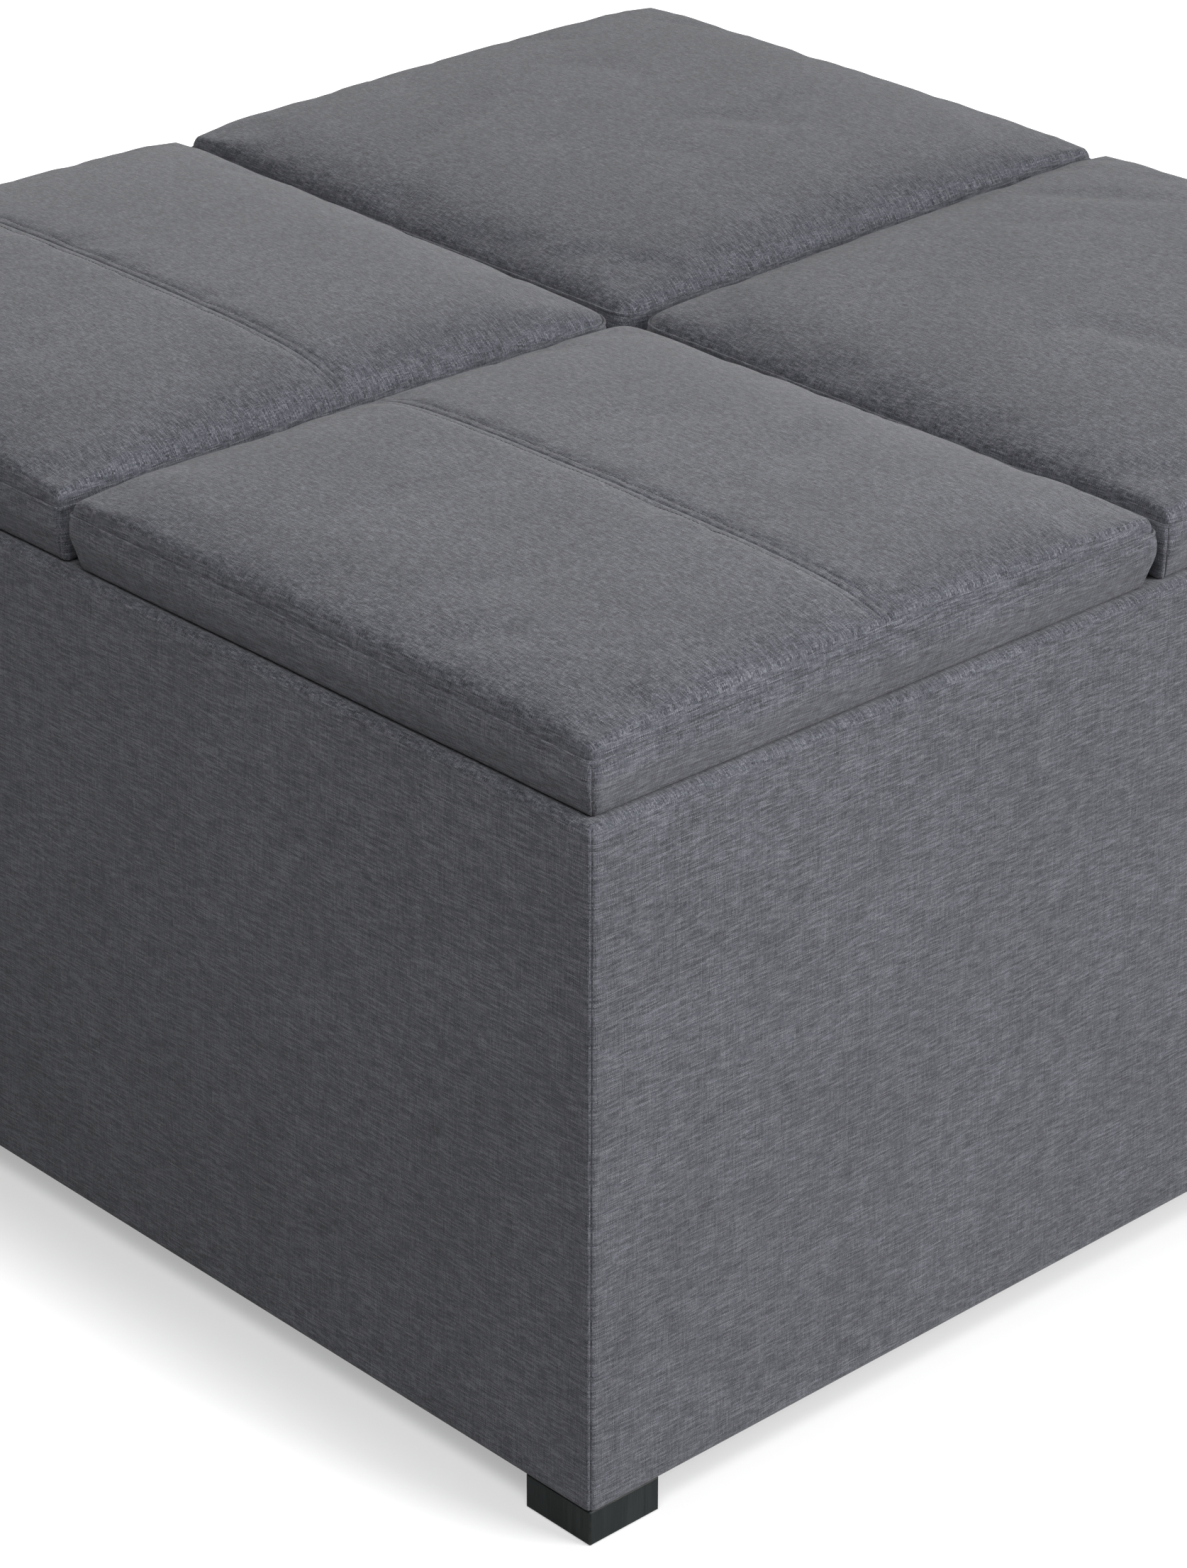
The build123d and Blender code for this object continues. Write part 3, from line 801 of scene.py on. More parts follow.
def sleeve_section(inset):
    """The sleeve's cross-section as (distance in from the outside, level), one side of the cloth."""
    bottom, top = case_low.z + inset, case_high.z - inset
    hem, rim, mouth = HEM_ROUND - inset, RIM_ROUND - inset, RIM_INSIDE_ROUND - inset
    inside = RIM_DEPTH + CLOTH - inset
    section = [(UNDERSIDE_TURN, bottom), (UNDERSIDE_TURN / 2, bottom), (UNDERSIDE_TURN / 6, bottom)]
    section += arc((HEM_ROUND, case_low.z + HEM_ROUND), hem, 270, 180, 5)
    side = np.linspace(case_low.z + 2 * HEM_ROUND, case_high.z - 2 * RIM_ROUND, 26)
    section += [(inset, z) for z in side]
    section += arc((RIM_ROUND, case_high.z - RIM_ROUND), rim, 180, 90, 7)
    section += [(RIM_DEPTH / 2, top)]
    section += arc((inside - mouth, top - mouth), mouth, 90, 0, 5)
    section += [(inside, z) for z in np.linspace(top - 3 * RIM_INSIDE_ROUND, lining_high.z, 4)]
    return section


sleeve_rings = []
for depth, level in sleeve_section(0):
    points = ring(case_stations, CASE_HALF - Vector((depth, depth)), CASE_CORNER - depth, level)
    if depth < RIM_ROUND:
        rise = (level - case_low.z) / (case_high.z - case_low.z)
        swell = (gentle(points, 9.0, 1) - 1) / 2 * math.sin(math.pi * min(max(rise, 0), 1))
        fade = np.clip(1 - depth / RIM_ROUND, 0, 1)
        relief = seam_relief(seam_distance, CASE_SEAM_DEPTH) + CASE_WAVER * swell
        points = push_out(points, case_stations, fade * relief)
    sleeve_rings.append(points)
for depth, level in reversed(sleeve_section(CLOTH)):
    sleeve_rings.append(ring(case_stations, CASE_HALF - Vector((depth, depth)), CASE_CORNER - depth, level))

case_sleeve = add_mesh("case_sleeve", *joined_rings(sleeve_rings, closed=True), UPHOLSTERY)
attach(case_sleeve, "base")
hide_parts("case_cover")
sleeve_width = sum(math.dist(a, b) for a, b in zip(sleeve_section(0), sleeve_section(0)[1:]))

# %% [markdown]
# ## Foam sheets under the sleeve
# Each wall has a 6 mm foam sheet glued to it. Nothing of it shows, but the ottoman holds it, and it is what
# softens the rim. A slab with all its edges rounded is enough.


# %% Foam sheets
def rounded_slab(name, low, high, radius, material):
    """A slab between two corners with every edge rounded."""
    form = bmesh.new()
    bmesh.ops.create_cube(form, size=1.0)
    middle, size = (low + high) / 2, high - low
    for vertex in form.verts:
        vertex.co = middle + Vector(c * s for c, s in zip(vertex.co, size))
    bmesh.ops.bevel(form, geom=form.edges[:], offset=radius, segments=4, profile=0.5, affect="EDGES")
    mesh = bpy.data.meshes.new(name)
    form.to_mesh(mesh)
    form.free()
    mesh.shade_smooth()
    mesh.materials.append(material)
    slab = bpy.data.objects.new(name, mesh)
    scene.collection.objects.link(slab)
    return slab


FOAM_SHEET_ROUND = 2.9 * MM
FOAM_SHEET_EASE = Vector((0.5, 0.5, 2.0)) * MM
for side in ("front", "rear", "left", "right"):
    low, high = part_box(side + "_padding")
    thin = 1 if side in ("front", "rear") else 0
    ease = FOAM_SHEET_EASE.copy()
    ease[thin] = 0
    sheet = rounded_slab("foam_sheet_" + side, low + ease, high - ease, FOAM_SHEET_ROUND, FOAM)
    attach(sheet, "base")
    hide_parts(side + "_padding")
print("foam sheets: 4")


# %% [markdown]
# ## The fold over the dividers
# Where the two dividers cross, their top edges are wrapped in the same linen. The fold is a cross in plan,
# drawn once as an outline, drawn down at the sides, rounded along the top by a bevel and given its
# thickness by a solidify modifier. Both are applied, so that what is seen is also what is in the mesh.


# %% Divider fold
def applied(obj):
    """Replaces an object's mesh by the result of its modifiers."""
    graph = bpy.context.evaluated_depsgraph_get()
    mesh = bpy.data.meshes.new_from_object(obj.evaluated_get(graph))
    obj.modifiers.clear()
    obj.data = mesh
    return obj


def thickened(obj, thickness):
    """Gives a sheet its thickness on the inside, and applies it."""
    solid = obj.modifiers.new("thickness", "SOLIDIFY")
    solid.thickness = thickness
    solid.offset = -1
    solid.use_even_offset = True
    return applied(obj)


FOLD_ROUND = 3 * MM
fold_low, fold_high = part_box("divider_cover")
divider_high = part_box("long_divider")[1]
arm = divider_high.y + CLOTH
reach_x, reach_y = fold_high.x, fold_high.y
outline = [
    (-reach_x, -arm), (-arm, -arm), (-arm, -reach_y), (arm, -reach_y), (arm, -arm), (reach_x, -arm),
    (reach_x, arm), (arm, arm), (arm, reach_y), (-arm, reach_y), (-arm, arm), (-reach_x, arm),
]
count = len(outline)
points = [(x, y, fold_high.z) for x, y in outline] + [(x, y, fold_low.z) for x, y in outline]
centre_top = (1, 4, 7, 10)
arms_top = [(0, 1, 10, 11), (1, 2, 3, 4), (4, 5, 6, 7), (7, 8, 9, 10)]
sides = [(k, (k + 1) % count, count + (k + 1) % count, count + k) for k in range(count)]
divider_fold = add_mesh("divider_fold", points, [centre_top] + arms_top + sides, UPHOLSTERY)
bevel = divider_fold.modifiers.new("round", "BEVEL")
bevel.width = FOLD_ROUND
bevel.segments = 4
bevel.limit_method = "ANGLE"
bevel.harden_normals = True
thickened(divider_fold, CLOTH)
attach(divider_fold, "base")
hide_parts("divider_cover")

# %% [markdown]
# ## Linings and dust cloth
# Each compartment is lined with a bag of thin cloth, and a dust cloth is stapled under the case. Thin cloth
# hangs a little loose, so the walls of a lining belly in and out by two or three millimetres and its
# corners are round. Rings shrink towards the middle of the compartment's floor to close the bag.

# %% Linings
LINING_THICKNESS = 0.8 * MM
LINING_CORNER = 9 * MM
LINING_FLOOR_ROUND = 7 * MM
LINING_HEM = 10 * MM
LINING_BELLY = 2.5 * MM
lining_stations = stations_round(per_side=22, per_corner=6)


def make_lining(corner, seed):
    """The lining bag of one compartment."""
    low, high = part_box("lining_" + corner)
    half, centre = (high - low).xy / 2, (low + high) / 2
    turn = LINING_FLOOR_ROUND
    section = [(0, high.z), (0, high.z - LINING_HEM), (0.6 * MM, high.z - LINING_HEM - 1 * MM)]
    section += [(0.6 * MM, z) for z in np.linspace(high.z - 2 * LINING_HEM, low.z + 2 * turn, 14)]
    section += arc((turn, low.z + turn), turn, 180, 270, 5)
    section += [(d, low.z) for d in np.linspace(turn * 2, half.x - 12 * MM, 12)]
    rings = []
    for depth, level in section:
        points = ring(lining_stations, half - Vector((depth, depth)), LINING_CORNER - depth / 2, level)
        height = (level - low.z) / (high.z - low.z)
        loose = LINING_BELLY * (gentle(points, 14.0, seed) + 1) / 2 * math.sin(math.pi * height)
        points = push_out(points, lining_stations, -loose)
        rings.append(points + np.array([centre.x, centre.y, 0]))
    points, faces = joined_rings(rings)
    last = len(points) - len(lining_stations)
    faces.append(tuple(range(last, len(points))))
    lining = thickened(add_mesh("compartment_lining_" + corner, points, faces, LINING), LINING_THICKNESS)
    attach(lining, "base")
    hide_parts("lining_" + corner)
    floor_cut, wall_cut = 2 * half, high.z - low.z
    return floor_cut, wall_cut


for seed, corner in enumerate(CORNERS):
    floor_cut, wall_cut = make_lining(corner, seed + 3)
print("linings: floor %.0f x %.0f mm, walls %.0f mm" % (floor_cut.x / MM, floor_cut.y / MM, wall_cut / MM))

# %% Dust cloth
DUST_CLOTH_THICKNESS = 0.6 * MM
DUST_CLOTH_SAG = 2.0 * MM
FOOT_CLEARANCE = 2.0 * MM
dust_low, dust_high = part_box("dust_cloth")
foot_low, foot_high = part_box("foot_front_right")
notch_x, notch_y = foot_low.x - FOOT_CLEARANCE, -foot_high.y - FOOT_CLEARANCE
lines_x = np.concatenate([[dust_low.x], np.linspace(-notch_x, notch_x, 29), [dust_high.x]])
lines_y = np.concatenate([[dust_low.y], np.linspace(-notch_y, notch_y, 29), [dust_high.y]])
points = [(x, y, dust_high.z) for x in lines_x for y in lines_y]
columns, rows = len(lines_x), len(lines_y)
waves = (gentle(points, 11.0, 8) + 1) / 2


def slack(position, reach):
    """1 in the middle and 0 at the hem."""
    return math.cos(math.pi / 2 * position / reach)


points = [
    (x, y, z - DUST_CLOTH_SAG * w * slack(x, dust_high.x) * slack(y, dust_high.y))
    for (x, y, z), w in zip(points, waves)
]
faces = [
    (i * rows + j, (i + 1) * rows + j, (i + 1) * rows + j + 1, i * rows + j + 1)
    for i in range(columns - 1)
    for j in range(rows - 1)
    if not (i in (0, columns - 2) and j in (0, rows - 2))
]
used = sorted({k for face in faces for k in face})
renumber = {k: i for i, k in enumerate(used)}
faces = [tuple(renumber[k] for k in face) for face in faces]
underside = add_mesh("underside_cloth", [points[k] for k in used], faces, DUST_CLOTH)
thickened(underside, DUST_CLOTH_THICKNESS)
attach(underside, "base")
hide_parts("dust_cloth")

# %% [markdown]
# ## The cushion of a lid
# A lid's cushion is a square top panel sewn to a side band, over a block of foam with soft shoulders. The
# foam lifts the panel sharply at the seam, then in a long soft shoulder, and the middle is nearly flat.
# That shape is a formula of the distance from the edge. Towards a corner the two distances count together,
# so that the corners fall away as they do on a stuffed cushion. Each cushion is stuffed by hand, so no two
# are quite as high. The formula alone would look like plastic. So a square of linen, slightly too large, is
# held by the seam and pressed onto that form in a cloth simulation, and it settles into faint ripples. The
# fine mesh then takes its level from the settled cloth, so that seams thinner than the simulated mesh stay
# sharp.

# %% Form of the foam
lid_low, lid_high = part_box("lid_cover_front_right")
GAP_EASE = 1.2 * MM
LID_HALF = (lid_high - lid_low).xy / 2 - Vector((GAP_EASE, GAP_EASE)) / 2
LID_CORNER = 5.5 * MM
INNER_LID_CORNER = 17 * MM
BAND_HEIGHT = 31.7 * MM
SEAM_LEVEL = lid_low.z + BAND_HEIGHT
CROWN = lid_high.z - SEAM_LEVEL
EXTRA_STUFFING = {
    "front_left": 6.0 * MM,
    "front_right": 2.4 * MM,
    "rear_left": 4.5 * MM,
    "rear_right": 2.4 * MM,
}
LIP_RISE = 4.2 * MM
LIP_WIDTH = 2.5 * MM
SHOULDER = 25 * MM
LONGER_SHOULDER = 1.5
CENTRE_SAG = 0.8 * MM
EDGE_START = 0.2 * MM
SEAM_MARGIN = 1.9 * MM
PANEL_HALF = LID_HALF - Vector((SEAM_MARGIN, SEAM_MARGIN))
TWIN_SEAM_LIDS = ("front_left", "front_right")
TWIN_DENT = 1.1 * MM
TWIN_DENT_WIDTH = 8 * MM
TOPSTITCH_OFFSET = 4.5 * MM


def foam_height(x, y, corner):
    """Height of the panel above the seam, without ripples."""
    edge_x = np.maximum(PANEL_HALF.x - np.abs(x), 0) + EDGE_START
    edge_y = np.maximum(PANEL_HALF.y - np.abs(y), 0) + EDGE_START
    edge = edge_x * edge_y / (edge_x + edge_y)
    lip = LIP_RISE * (1 - np.exp(-edge / LIP_WIDTH))
    edge_y = edge_y / LONGER_SHOULDER
    rise = 1 - np.exp(-edge_x * edge_y / (edge_x + edge_y) / SHOULDER)
    sag = CENTRE_SAG * np.cos(np.pi / 2 * x / PANEL_HALF.x) * np.cos(np.pi / 2 * y / PANEL_HALF.y)
    height = lip + (CROWN + EXTRA_STUFFING[corner] - LIP_RISE) * rise - sag
    if corner in TWIN_SEAM_LIDS:
        height = height - TWIN_DENT * rise * np.exp(-((y / TWIN_DENT_WIDTH) ** 2))
    return height


print("lid cushion: band %.1f mm, crown %.1f mm" % (BAND_HEIGHT / MM, CROWN / MM))

# %% Settle the cloth
NET_CELLS = 46
NET_FRAMES = 18
NET_EXCESS = 0.012
RIPPLE_LIMIT = 1.1 * MM
START_RIPPLE = 0.3 * MM
SEAM_REACH = 2 * MM
LOOSE_HOLD = 0.12


def settled_cloth(corner, seed):
    """Levels of a simulated cloth relative to the foam, on an even net of points."""
    xs = np.linspace(-PANEL_HALF.x, PANEL_HALF.x, NET_CELLS + 1)
    ys = np.linspace(-PANEL_HALF.y, PANEL_HALF.y, NET_CELLS + 1)
    grid_x, grid_y = np.meshgrid(xs, ys, indexing="ij")
    form = foam_height(grid_x, grid_y, corner)
    start = np.column_stack([grid_x.ravel(), grid_y.ravel(), form.ravel()])
    start[:, 2] += START_RIPPLE * gentle(start, 30.0, seed)
    net = add_mesh("net", start, grid_quads(len(xs), len(ys)))
    held = net.vertex_groups.new(name="held")
    for k, (x, y, z) in enumerate(start):
        edge = min(PANEL_HALF.x - abs(x), PANEL_HALF.y - abs(y))
        on_seam = edge < SEAM_REACH or (corner in TWIN_SEAM_LIDS and abs(y) < TOPSTITCH_OFFSET)
        held.add([k], 1.0 if on_seam else LOOSE_HOLD, "REPLACE")
    cloth = net.modifiers.new("cloth", "CLOTH")
    cloth.settings.quality = 6
    cloth.settings.mass = 0.25
    cloth.settings.tension_stiffness = 25
    cloth.settings.compression_stiffness = 25
    cloth.settings.bending_stiffness = 0.6
    cloth.settings.shrink_min = -NET_EXCESS
    cloth.settings.vertex_group_mass = "held"
    cloth.settings.pin_stiffness = 1.0
    cloth.settings.use_pressure = True
    cloth.settings.uniform_pressure_force = 1.5
    cloth.settings.effector_weights.gravity = 0
    cloth.point_cache.frame_start = 1
    cloth.point_cache.frame_end = NET_FRAMES
    for step in range(1, NET_FRAMES + 1):
        scene.frame_set(step)
    applied(net)
    settled = np.array([v.co.z for v in net.data.vertices]).reshape(form.shape)
    bpy.data.objects.remove(net)
    scene.frame_set(1)
    return np.clip(settled - form, -RIPPLE_LIMIT, RIPPLE_LIMIT)


def sampled(net, x, y):
    """Value of the net at any place on the panel."""
    u = np.clip((x / PANEL_HALF.x + 1) / 2, 0, 1) * NET_CELLS
    v = np.clip((y / PANEL_HALF.y + 1) / 2, 0, 1) * NET_CELLS
    i, j = np.minimum(u.astype(int), NET_CELLS - 1), np.minimum(v.astype(int), NET_CELLS - 1)
    fu, fv = u - i, v - j
    low = net[i, j] * (1 - fu) + net[i + 1, j] * fu
    high = net[i, j + 1] * (1 - fu) + net[i + 1, j + 1] * fu
    return low * (1 - fv) + high * fv


# %% [markdown]
# ### The sewn cover
# The panel is a grid whose lines crowd together near the edges and beside the twin seam, because that is
# where the shape changes within a millimetre. Its corner cells are bent into quarter circles. From its rim,
# rings carry on outwards: down into the seam, over the small lip of the seam allowance, down the band and
# along the underside to the tray. The band bellies out a little and curls under, more on the two sides that
# face out than on those that face another lid. The inside of the cloth is the same shape a cloth thickness
# in, without the lip.

# %% Cover of a cushion
CORNER_CELL = 11 * MM
EDGE_LINES = np.array([0, 0.35, 0.8, 1.5, 2.6, 4.2, 7]) * MM
SHOULDER_LINES = np.array([15, 20, 26, 33, 41, 50]) * MM
SEAM_LINES = np.array([12, 8.5, 6.2, 5.1, 4.5, 3.9, 3.0, 1.7, 0.8, 0.35]) * MM
MIDDLE_PITCH = 7.5 * MM
BAND_BULGE = 0.7 * MM
BAND_BULGE_END = 0.62
BAND_CURL = 2.5 * MM
OUTER_BAND_CURL = 4.0 * MM
BAND_CURL_START = 0.30
BAND_CURL_POWER = 1.5
BAND_LOOSE = 0.4 * MM
BAND_LOOSE_SCALE = 16.0
BAND_HELD = 8 * MM
RIM_DIP = 0.75 * MM
RIM_DIP_WIDTH = 0.7 * MM
TWIN_SEAM_DEPTH = 0.8 * MM
TWIN_SEAM_WIDTH = 0.5 * MM
TOPSTITCH_DEPTH = 0.45 * MM
TOPSTITCH_WIDTH = 0.7 * MM
BAND_SEAM_DEPTH = 0.6 * MM
BAND_CORNER_SOFTENING = 3 * MM
TRAY_CLEARANCE = 1 * MM
UNDERSIDE_END = lid_high.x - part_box("tray_panel_front_right")[1].x - TRAY_CLEARANCE - GAP_EASE


def panel_lines(half, twin_seam):
    """Grid lines across a panel, crowded at its edges and beside the twin seam if there is one."""
    edge = half - np.concatenate([EDGE_LINES, [CORNER_CELL], SHOULDER_LINES])
    seam = SEAM_LINES if twin_seam else np.array([])
    last = SEAM_LINES[0] if twin_seam else 0.0
    steps = round((edge[-1] - last) / MIDDLE_PITCH)
    middle = np.linspace(edge[-1], last, steps + 1)[1:-1]
    positive = np.concatenate([edge, middle, seam])
    return np.concatenate([-positive, [0.0], positive[::-1]])


def fanned(x, y):
    """Station values of a panel point: the corner centre's share and the way outwards from it."""
    inner_x, inner_y = PANEL_HALF.x - CORNER_CELL, PANEL_HALF.y - CORNER_CELL
    p = np.sign(x) * np.maximum(np.abs(x) - inner_x, 0) / CORNER_CELL
    q = np.sign(y) * np.maximum(np.abs(y) - inner_y, 0) / CORNER_CELL
    way_x, way_y = corner_fan(p, q)
    return np.clip(x, -inner_x, inner_x) / inner_x, np.clip(y, -inner_y, inner_y) / inner_y, way_x, way_y


def corner_radii(stations, inwards):
    """Corner radius of a lid at each station: larger at the corner towards the middle of the ottoman."""
    share = (1 + stations[:, 0] * inwards[0]) * (1 + stations[:, 1] * inwards[1]) / 4
    return LID_CORNER + (INNER_LID_CORNER - LID_CORNER) * share


def rim_order(columns, rows):
    """Indices of a grid's outer points, once round, anticlockwise."""
    bottom = [i * rows for i in range(columns - 1)]
    right_side = [(columns - 1) * rows + j for j in range(rows - 1)]
    top = [i * rows + rows - 1 for i in range(columns - 1, 0, -1)]
    left_side = list(range(rows - 1, 0, -1))
    return bottom + right_side + top + left_side


def twin_relief(y):
    """Cross-section of the twin seam: the seam itself and a row of topstitching on each side."""
    seam = -TWIN_SEAM_DEPTH * np.exp(-((y / TWIN_SEAM_WIDTH) ** 2))
    rows = -TOPSTITCH_DEPTH * np.exp(-(((np.abs(y) - TOPSTITCH_OFFSET) / TOPSTITCH_WIDTH) ** 2))
    return seam + rows


# The seam from the panel's rim to the band, in mm: out from the rim, and up from the seam
SEAM_SECTION = [
    (0.35, -0.45), (0.6, 0.25), (0.95, 0.8), (1.4, 0.8), (1.8, 0.25), (1.92, -0.5), (1.7, -1.1),
    (1.65, -1.7), (1.9, -2.8),
]
PLAIN_SECTION = [(1.2, -0.8), (1.8, -2.8)]


def band_curl(drop):
    """How far the band has curled under, from 0 to 1, at a share of its height below the seam."""
    return (max(0, drop - BAND_CURL_START) / (1 - BAND_CURL_START)) ** BAND_CURL_POWER


def band_section(lip):
    """Rows of the side band as (out from the panel, level from the seam), down to the underside."""
    rows = [(out * MM, level * MM) for out, level in (SEAM_SECTION if lip else PLAIN_SECTION)]
    for share in np.linspace(0.13, 0.93, 17):
        bulge = BAND_BULGE * math.sin(math.pi * min(share / BAND_BULGE_END, 1))
        rows.append((SEAM_MARGIN + bulge - BAND_CURL * band_curl(share), -share * BAND_HEIGHT))
    turn_start = rows[-1][0]
    rows += [(turn_start - 1.1 * MM, -0.975 * BAND_HEIGHT), (turn_start - 2.9 * MM, -BAND_HEIGHT)]
    rows += [(-d, -BAND_HEIGHT) for d in np.linspace(12 * MM, UNDERSIDE_END - SEAM_MARGIN, 5)]
    return rows


def cushion_surface(xs, ys, level_of, inset, lip, inwards, seed):
    """Points of one side of the cover: the panel's grid, then the rings of the band."""
    half = PANEL_HALF - Vector((inset, inset))
    grid_x, grid_y = (g.ravel() for g in np.meshgrid(xs, ys, indexing="ij"))
    cells = np.column_stack(fanned(grid_x, grid_y))
    radii = corner_radii(cells, inwards) - SEAM_MARGIN - inset
    panel = ring(cells, half, radii, SEAM_LEVEL + level_of(grid_x, grid_y) - inset)
    order = rim_order(len(xs), len(ys))
    stations, radii = cells[order], radii[order]
    corner_distance = from_corner(stations, LID_CORNER)
    facing_out = np.maximum(-stations[:, 2] * inwards[0], 0) + np.maximum(-stations[:, 3] * inwards[1], 0)
    rings = []
    for out, level in band_section(lip):
        deep = level < -0.99 * BAND_HEIGHT
        lifted = inset if deep else 0
        softer = BAND_CORNER_SOFTENING * (level / BAND_HEIGHT) ** 2
        size = half + Vector((out, out))
        points = ring(stations, size, radii + out + softer, SEAM_LEVEL + level + lifted)
        curled = OUTER_BAND_CURL * band_curl(min(-level / BAND_HEIGHT, 1))
        if deep:
            curled *= 1 + min(0, out) / (UNDERSIDE_END - SEAM_MARGIN)
        points = push_out(points, stations, -curled * facing_out)
        if lip and not deep and level < -1.5 * MM:
            loose = BAND_LOOSE * gentle(points, BAND_LOOSE_SCALE, seed) * min(1, -level / BAND_HELD)
            points = push_out(points, stations, seam_relief(corner_distance, BAND_SEAM_DEPTH) + loose)
        rings.append(points)
    return panel, order, rings


def make_cushion(corner, seed):
    """The sewn cover of one lid, as a closed shell of cloth."""
    twin_seam = corner in TWIN_SEAM_LIDS
    inwards = [-side for side in CORNERS[corner]]
    low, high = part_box("lid_cover_" + corner)
    centre = (low + high) / 2 - Vector((*inwards, 0)) * GAP_EASE / 2
    net = settled_cloth(corner, seed)
    xs = panel_lines(PANEL_HALF.x, False)
    ys = panel_lines(PANEL_HALF.y, twin_seam)

    def outside_level(x, y):
        level = foam_height(x, y, corner) + sampled(net, x, y)
        edge = np.minimum(PANEL_HALF.x - np.abs(x), PANEL_HALF.y - np.abs(y))
        level = level - RIM_DIP * np.exp(-((edge / RIM_DIP_WIDTH) ** 2))
        if twin_seam:
            level = level + twin_relief(y) * np.clip(edge / SEAM_REACH, 0, 1)
        return level

    def inside_level(x, y):
        return foam_height(x, y, corner) + sampled(net, x, y)

    surfaces = [
        cushion_surface(xs, ys, outside_level, 0.0, True, inwards, seed),
        cushion_surface(xs, ys, inside_level, CLOTH, False, inwards, seed),
    ]
    columns, rows = len(xs), len(ys)
    points, faces, ends = [], [], []
    for panel, order, rings in surfaces:
        start = sum(len(p) for p in points)
        points.append(panel)
        faces += grid_quads(columns, rows, start)
        previous = [start + k for k in order]
        for one in rings:
            begin = sum(len(p) for p in points)
            points.append(one)
            current = list(range(begin, begin + len(one)))
            faces += loop_quads(previous, current)
            previous = current
        ends.append(previous)
    faces += loop_quads(*ends)
    points = np.vstack(points) + np.array([centre.x, centre.y, 0])
    cushion = add_mesh("cushion_" + corner, points, faces, UPHOLSTERY)
    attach(cushion, "lid_" + corner)
    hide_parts("lid_cover_" + corner)
    return centre, outside_level, inside_level


def loop_quads(first, second):
    """Quads between two loops of equal length."""
    count = len(first)
    return [(first[k], first[(k + 1) % count], second[(k + 1) % count], second[k]) for k in range(count)]


cushions = {}
for seed, corner in enumerate(CORNERS):
    cushions[corner] = make_cushion(corner, seed + 11)
    print("cushion", corner, "sewn")

# %% [markdown]
# ### Foam inside the cushions
# The foam block fills the cover above the lid's board. It is the same form again, a little smaller, with a
# flat base, and it closes in one piece.

# %% Foam blocks
FOAM_EASE = 1.6 * MM
FOAM_CELLS = 40


def make_foam_block(corner):
    """The foam of one cushion, on top of the lid's board."""
    centre, outside_level, inside_level = cushions[corner]
    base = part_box("lid_board_" + corner)[1].z
    inwards = [-side for side in CORNERS[corner]]
    xs = np.linspace(-PANEL_HALF.x, PANEL_HALF.x, FOAM_CELLS + 1)
    ys = np.linspace(-PANEL_HALF.y, PANEL_HALF.y, FOAM_CELLS + 1)
    grid_x, grid_y = (g.ravel() for g in np.meshgrid(xs, ys, indexing="ij"))
    cells = np.column_stack(fanned(grid_x, grid_y))
    radii = corner_radii(cells, inwards) - SEAM_MARGIN
    half = PANEL_HALF - Vector((FOAM_EASE, FOAM_EASE))
    top = ring(cells, half, radii, SEAM_LEVEL + inside_level(grid_x, grid_y) - 2 * CLOTH)
    bottom = top.copy()
    bottom[:, 2] = base
    quads = grid_quads(len(xs), len(ys))
    order = rim_order(len(xs), len(ys))
    faces = quads + [tuple(len(top) + k for k in quad) for quad in quads]
    faces += loop_quads(order, [len(top) + k for k in order])
    points = np.vstack([top, bottom]) + np.array([centre.x, centre.y, 0])
    block = add_mesh("foam_block_" + corner, points, faces, FOAM)
    block.data.set_sharp_from_angle(angle=math.radians(40))
    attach(block, "lid_" + corner)
    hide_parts("lid_foam_" + corner)


for corner in CORNERS:
    make_foam_block(corner)
print("foam blocks: 4")

# %% [markdown]
# ### The stitches of the twin seam
# The two front cushions have a seam across the middle with a row of topstitching on each side. The stitches
# are real thread: a short bar, round in section, whose two ends dive into the cloth. One bar is placed
# again and again along each row, at the level of the cloth there.

# %% Topstitching
STITCH_PITCH = 3.0 * MM
STITCH_LENGTH = 2.3 * MM
STITCH_RADIUS = 0.32 * MM
STITCH_SIDES = 8
STITCH_RINGS = 7
STITCH_DIP = 0.35 * MM
STITCH_STRAY = 0.12
STITCH_TURN = 0.09
STITCH_STANDS = 0.12 * MM
ROW_END = 2 * MM


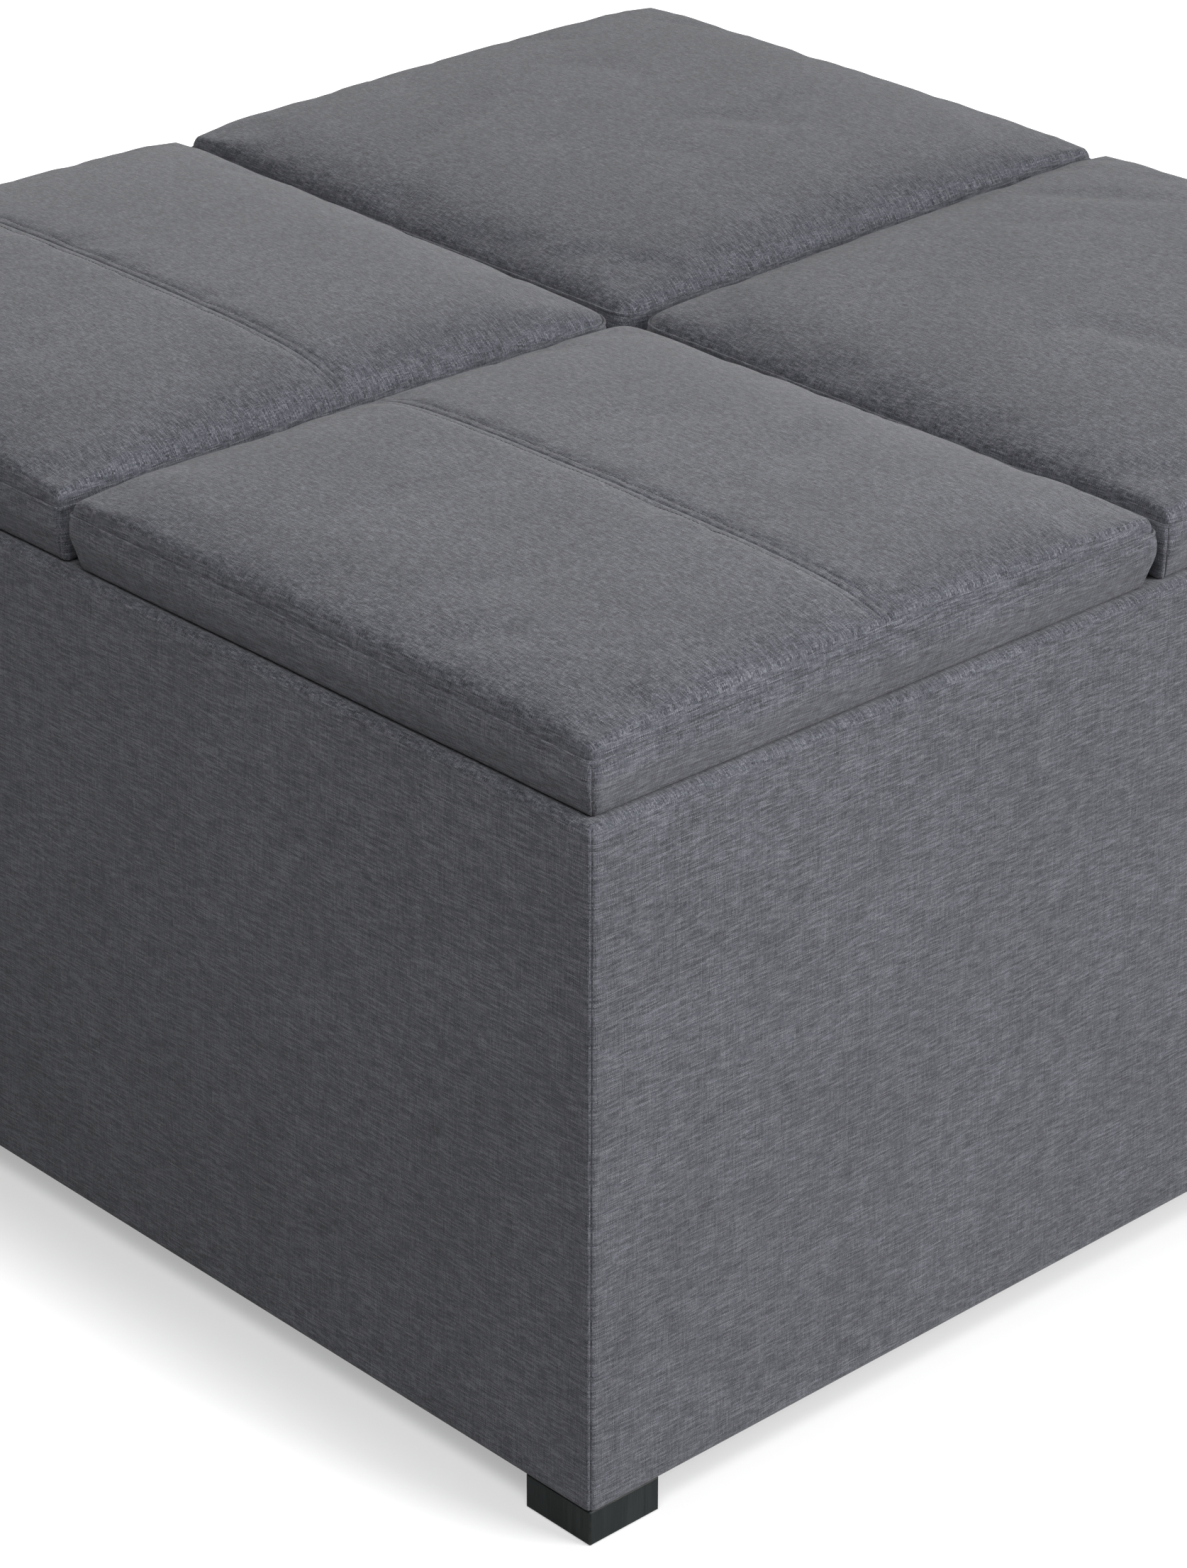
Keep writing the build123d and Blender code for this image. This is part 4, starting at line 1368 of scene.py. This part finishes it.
def stitch_bar():
    """Rings of one stitch along X, thick in the middle, with its ends bent down."""
    rings = []
    for share in np.linspace(-1, 1, STITCH_RINGS):
        thickness = STITCH_RADIUS * math.sqrt(max(0.06, 1 - 0.75 * share ** 4))
        dip = -STITCH_DIP * share ** 4
        angles = np.linspace(0, 2 * math.pi, STITCH_SIDES, endpoint=False)
        x = np.full(STITCH_SIDES, share * STITCH_LENGTH / 2)
        rings.append(np.column_stack([x, thickness * np.cos(angles), dip + thickness * np.sin(angles)]))
    return rings


def make_topstitching(corner, seed):
    """Both rows of stitches on one cushion."""
    centre, outside_level, inside_level = cushions[corner]
    bar_points, bar_faces = joined_rings(stitch_bar())
    count = len(bar_points)
    ends = [tuple(range(STITCH_SIDES)), tuple(range(count - STITCH_SIDES, count))]
    chance = random.Random(seed)
    points, faces = [], []
    reach = PANEL_HALF.x - ROW_END
    for row in (-1, 1):
        for x in np.arange(-reach, reach, STITCH_PITCH):
            y = row * TOPSTITCH_OFFSET + chance.uniform(-STITCH_STRAY, STITCH_STRAY) * MM
            before, after = (float(outside_level(np.array([x + d]), np.array([y]))[0]) for d in (-MM, MM))
            slope = math.atan2(after - before, 2 * MM)
            turn = chance.uniform(-STITCH_TURN, STITCH_TURN)
            turned = Matrix.Rotation(-slope, 3, "Y") @ Matrix.Rotation(turn, 3, "Z")
            level = SEAM_LEVEL + (before + after) / 2 + STITCH_STANDS
            place = np.array([centre.x + x, centre.y + y, level])
            start = len(points) * count
            points.append(bar_points @ np.array(turned).T + place)
            faces += [tuple(start + k for k in face) for face in bar_faces + ends]
    stitches = add_mesh("topstitching_" + corner, np.vstack(points), faces, THREAD)
    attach(stitches, "lid_" + corner)
    return len(points)


for seed, corner in enumerate(TWIN_SEAM_LIDS):
    made = make_topstitching(corner, seed + 5)
    print("topstitching", corner, made, "stitches")

# %% [markdown]
# ## The frame's size
# The dressed ottoman has to stay as large as its frame, so the frame's box is printed.

# %% Sizes and finish
print("frame box", [round(v, 4) for corner in frame_bounds for v in corner])
